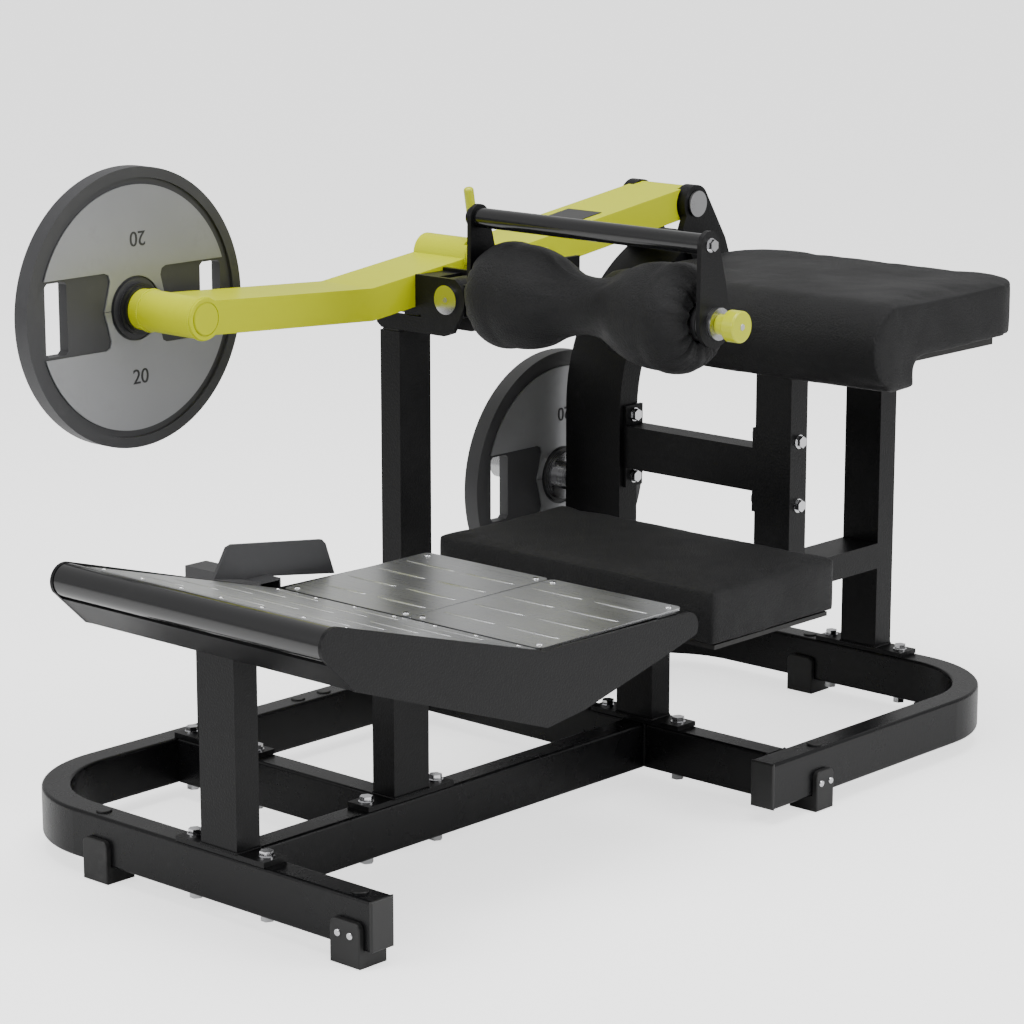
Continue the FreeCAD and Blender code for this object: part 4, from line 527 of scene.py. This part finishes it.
def repeated(name, tree_name, body, look, values, mesh=None, matrix=None):
    """Run a geometry tree, keep its result as a plain mesh and put that on a body."""
    tree = TREES[tree_name]
    obj = bpy.data.objects.new(name + "_work", mesh or bpy.data.meshes.new(name))
    scene.collection.objects.link(obj)
    modifier = obj.modifiers.new("repeat", "NODES")
    modifier.node_group = tree
    for item in tree.interface.items_tree:
        if item.in_out == "INPUT" and item.name in values:
            modifier[item.identifier] = values[item.name]
        elif item.in_out == "INPUT" and item.name == "Material":
            modifier[item.identifier] = MATERIALS[look]
    result = evaluated_mesh(obj, name)
    bpy.data.objects.remove(obj)
    if matrix:
        result.transform(matrix)
    result.name = name
    return piece(name, result, body, look)


for side, centre in (("left", -134.75), ("right", 134.75)):
    repeated(f"deck_ribs_{side}", "grip_ribs", "machine_frame", "deck_metal",
             {"Columns": 2, "Rows": 4, "Width": 0.128, "Depth": 0.2, "Rib Size": (0.054, 0.0036, 0.0013)},
             matrix=Matrix.Translation(place(centre, 548, 376)))
toe_low, toe_high = place(0, 384, 376), place(0, -34, 489)
tilt = math.atan2(toe_high.z - toe_low.z, toe_low.y - toe_high.y)
toe_middle = toe_low.lerp(toe_high, 0.47)
repeated("toe_ribs", "grip_ribs", "machine_frame", "deck_metal",
         {"Columns": 3, "Rows": 5, "Width": 0.34, "Depth": 0.28, "Rib Size": (0.05, 0.0034, 0.0012)},
         matrix=Matrix.Translation(toe_middle) @ Matrix.Rotation(-tilt, 4, "X"))
repeated("toe_rivets", "grip_ribs", "machine_frame", "bright_metal",
         {"Columns": 7, "Rows": 2, "Width": 0.50, "Depth": 0.36, "Rib Size": (0.0045, 0.0045, 0.0018)},
         matrix=Matrix.Translation(toe_middle) @ Matrix.Rotation(-tilt, 4, "X"))


def loops(name, polylines):
    """Edge-only mesh made of closed or open runs of points."""
    mesh = bpy.data.meshes.new(name)
    points, edges = [], []
    for run, closed in polylines:
        start = len(points)
        points += run
        edges += [(start + i, start + i + 1) for i in range(len(run) - 1)]
        if closed:
            edges.append((start + len(run) - 1, start))
    mesh.from_pydata(points, edges, [])
    return mesh


def rectangle(x, y, wide, deep, z):
    return [place(x - wide / 2, y - deep / 2, z), place(x + wide / 2, y - deep / 2, z),
            place(x + wide / 2, y + deep / 2, z), place(x - wide / 2, y + deep / 2, z)]


def circle(x, y, z, radius, steps=48):
    """A ring in the YZ plane."""
    return [place(x, y + radius * math.cos(2 * math.pi * i / steps),
                  z + radius * math.sin(2 * math.pi * i / steps))
            for i in range(steps)]


post_foot = [(0, 22.5, 75, 45), (0, 373.5, 45, 75), (-392.5, 373.5, 75, 45), (0, 940.5, 75, 45),
             (0, 1552.5, 75, 45), (-499.5, 903.5, 45, 75)]
frame_welds = [(rectangle(*spot, 108.5), True) for spot in post_foot]
frame_welds += [(rectangle(0, 1297.5, 75, 45, 297.5), True), (rectangle(0, 1552.5, 75, 45, 667.5), True)]
frame_welds += [([place(x, y, 30), place(x, y, 98)], False) for x, y in
                ((-22.5, 45), (22.5, 45), (-22.5, 918), (22.5, 918), (-22.5, 351), (-22.5, 396), (275, 918),
                 (275, 963))]
repeated("frame_welds", "weld_bead", "machine_frame", "frame_paint",
         {"Pitch": 0.0035, "Bead Size": (0.0028, 0.0028, 0.0028)}, mesh=loops("frame_welds", frame_welds))
arm_welds = [(circle(-439.3, *LOAD_HORN, 33.2), True), (circle(-559.7, *LOAD_HORN, 33.2), True),
             (circle(-438.8, 1018, 808, 32.2), True), (circle(-331.8, 1018, 808, 32.2), True)]
repeated("arm_welds", "weld_bead", "lever_arm", "arm_paint",
         {"Pitch": 0.003, "Bead Size": (0.0022, 0.0022, 0.0022)}, mesh=loops("arm_welds", arm_welds))


def disc(name, centre, axis, radius, thick, body, look, sides=48):
    """A small capped disc with a rounded rim, standing on a face."""
    work = bmesh.new()
    turn = Vector(axis).to_track_quat("Z", "Y").to_matrix().to_4x4()
    bmesh.ops.create_cone(work, cap_ends=True, segments=sides, radius1=radius, radius2=radius, depth=thick,
                          matrix=Matrix.Translation(centre + Vector(axis) * thick / 2) @ turn)
    rims = [e for e in work.edges if len(e.link_faces) == 2 and e.calc_face_angle(0) > 1.2]
    bmesh.ops.bevel(work, geom=rims, offset=min(radius, thick) * 0.3, segments=2, affect="EDGES")
    mesh = bpy.data.meshes.new(name)
    work.to_mesh(mesh)
    work.free()
    return piece(name, mesh, body, look, smooth=False)


disc("knob_screw", place(295.1, *ROLLER_LINE), (1, 0, 0), 0.0055, 0.0014, "pull_pin", "bright_metal", 6)
disc("hinge_pin_mark", place(-368, 862, 761), (0, -1, 0), 0.004, 0.001, "lever_arm", "steel")
disc("horn_cap_centre", place(-434, *LOAD_HORN), (1, 0, 0), 0.0245, 0.0012, "lever_arm", "arm_paint", 64)
disc("load_hub_washer", place(-594.8, *LOAD_HORN), (1, 0, 0), 0.041, 0.0145, "lever_arm", "black_plastic",
     64)

# ---------------------------------------------------------------- floor, light and camera
bpy.ops.mesh.primitive_plane_add(size=60, location=(0, 0, -0.0005))
floor = bpy.context.object
floor.name = "floor"
floor_look = bpy.data.materials.new("studio_floor")
floor_look.use_nodes = True
floor_shader = floor_look.node_tree.nodes["Principled BSDF"]
floor_shader.inputs["Base Color"].default_value = (0.88, 0.88, 0.88, 1)
floor_shader.inputs["Roughness"].default_value = 0.6
floor_shader.inputs["Emission Color"].default_value = (1, 1, 1, 1)
path = add(floor_look.node_tree, "ShaderNodeLightPath")
glow = add(floor_look.node_tree, "ShaderNodeMath", [(0, path.outputs["Is Camera Ray"]), (1, 1.5)],
           operation="MULTIPLY")
floor_look.node_tree.links.new(glow.outputs[0], floor_shader.inputs["Emission Strength"])
floor.data.materials.append(floor_look)

world = bpy.data.worlds.new("studio")
world.use_nodes = True
tree = world.node_tree
lit = tree.nodes["Background"]
lit.inputs["Color"].default_value = (1, 1, 1, 1)
lit.inputs["Strength"].default_value = 0.55
seen = add(tree, "ShaderNodeBackground", [("Color", (1, 1, 1, 1)), ("Strength", 2.4)])
mix = add(tree, "ShaderNodeMixShader", [(0, add(tree, "ShaderNodeLightPath").outputs["Is Camera Ray"])])
tree.links.new(lit.outputs[0], mix.inputs[1])
tree.links.new(seen.outputs[0], mix.inputs[2])
tree.links.new(mix.outputs[0], tree.nodes["World Output"].inputs["Surface"])
scene.world = world


def softbox(name, at, aim, size, power):
    light = bpy.data.lights.new(name, "AREA")
    light.shape, light.size, light.size_y, light.energy = "RECTANGLE", size[0], size[1], power
    obj = bpy.data.objects.new(name, light)
    obj.location = at
    obj.rotation_euler = (Vector(aim) - Vector(at)).to_track_quat("-Z", "Y").to_euler()
    scene.collection.objects.link(obj)


softbox("top_light", (0.3, -0.4, 4.2), (0, 0, 0.5), (3.2, 3.2), 190)
softbox("right_light", (4.2, 1.6, 2.4), (0, 0, 0.5), (1.6, 3.0), 110)
softbox("front_light", (-1.2, -4.6, 2.6), (0, 0, 0.4), (2.6, 2.0), 90)

camera = bpy.data.cameras.new("camera")
camera.lens = 115.17
camera.sensor_width = 36.0
camera.clip_end = 100.0
view = bpy.data.objects.new("camera", camera)
heading, dip = math.radians(42.3), math.radians(12.673)
aim = Vector((-math.sin(heading) * math.cos(dip), math.cos(heading) * math.cos(dip), -math.sin(dip)))
view.location = place(3313.8, -3019.5, 1605.6)
view.rotation_euler = aim.to_track_quat("-Z", "Y").to_euler()
scene.collection.objects.link(view)
scene.camera = view
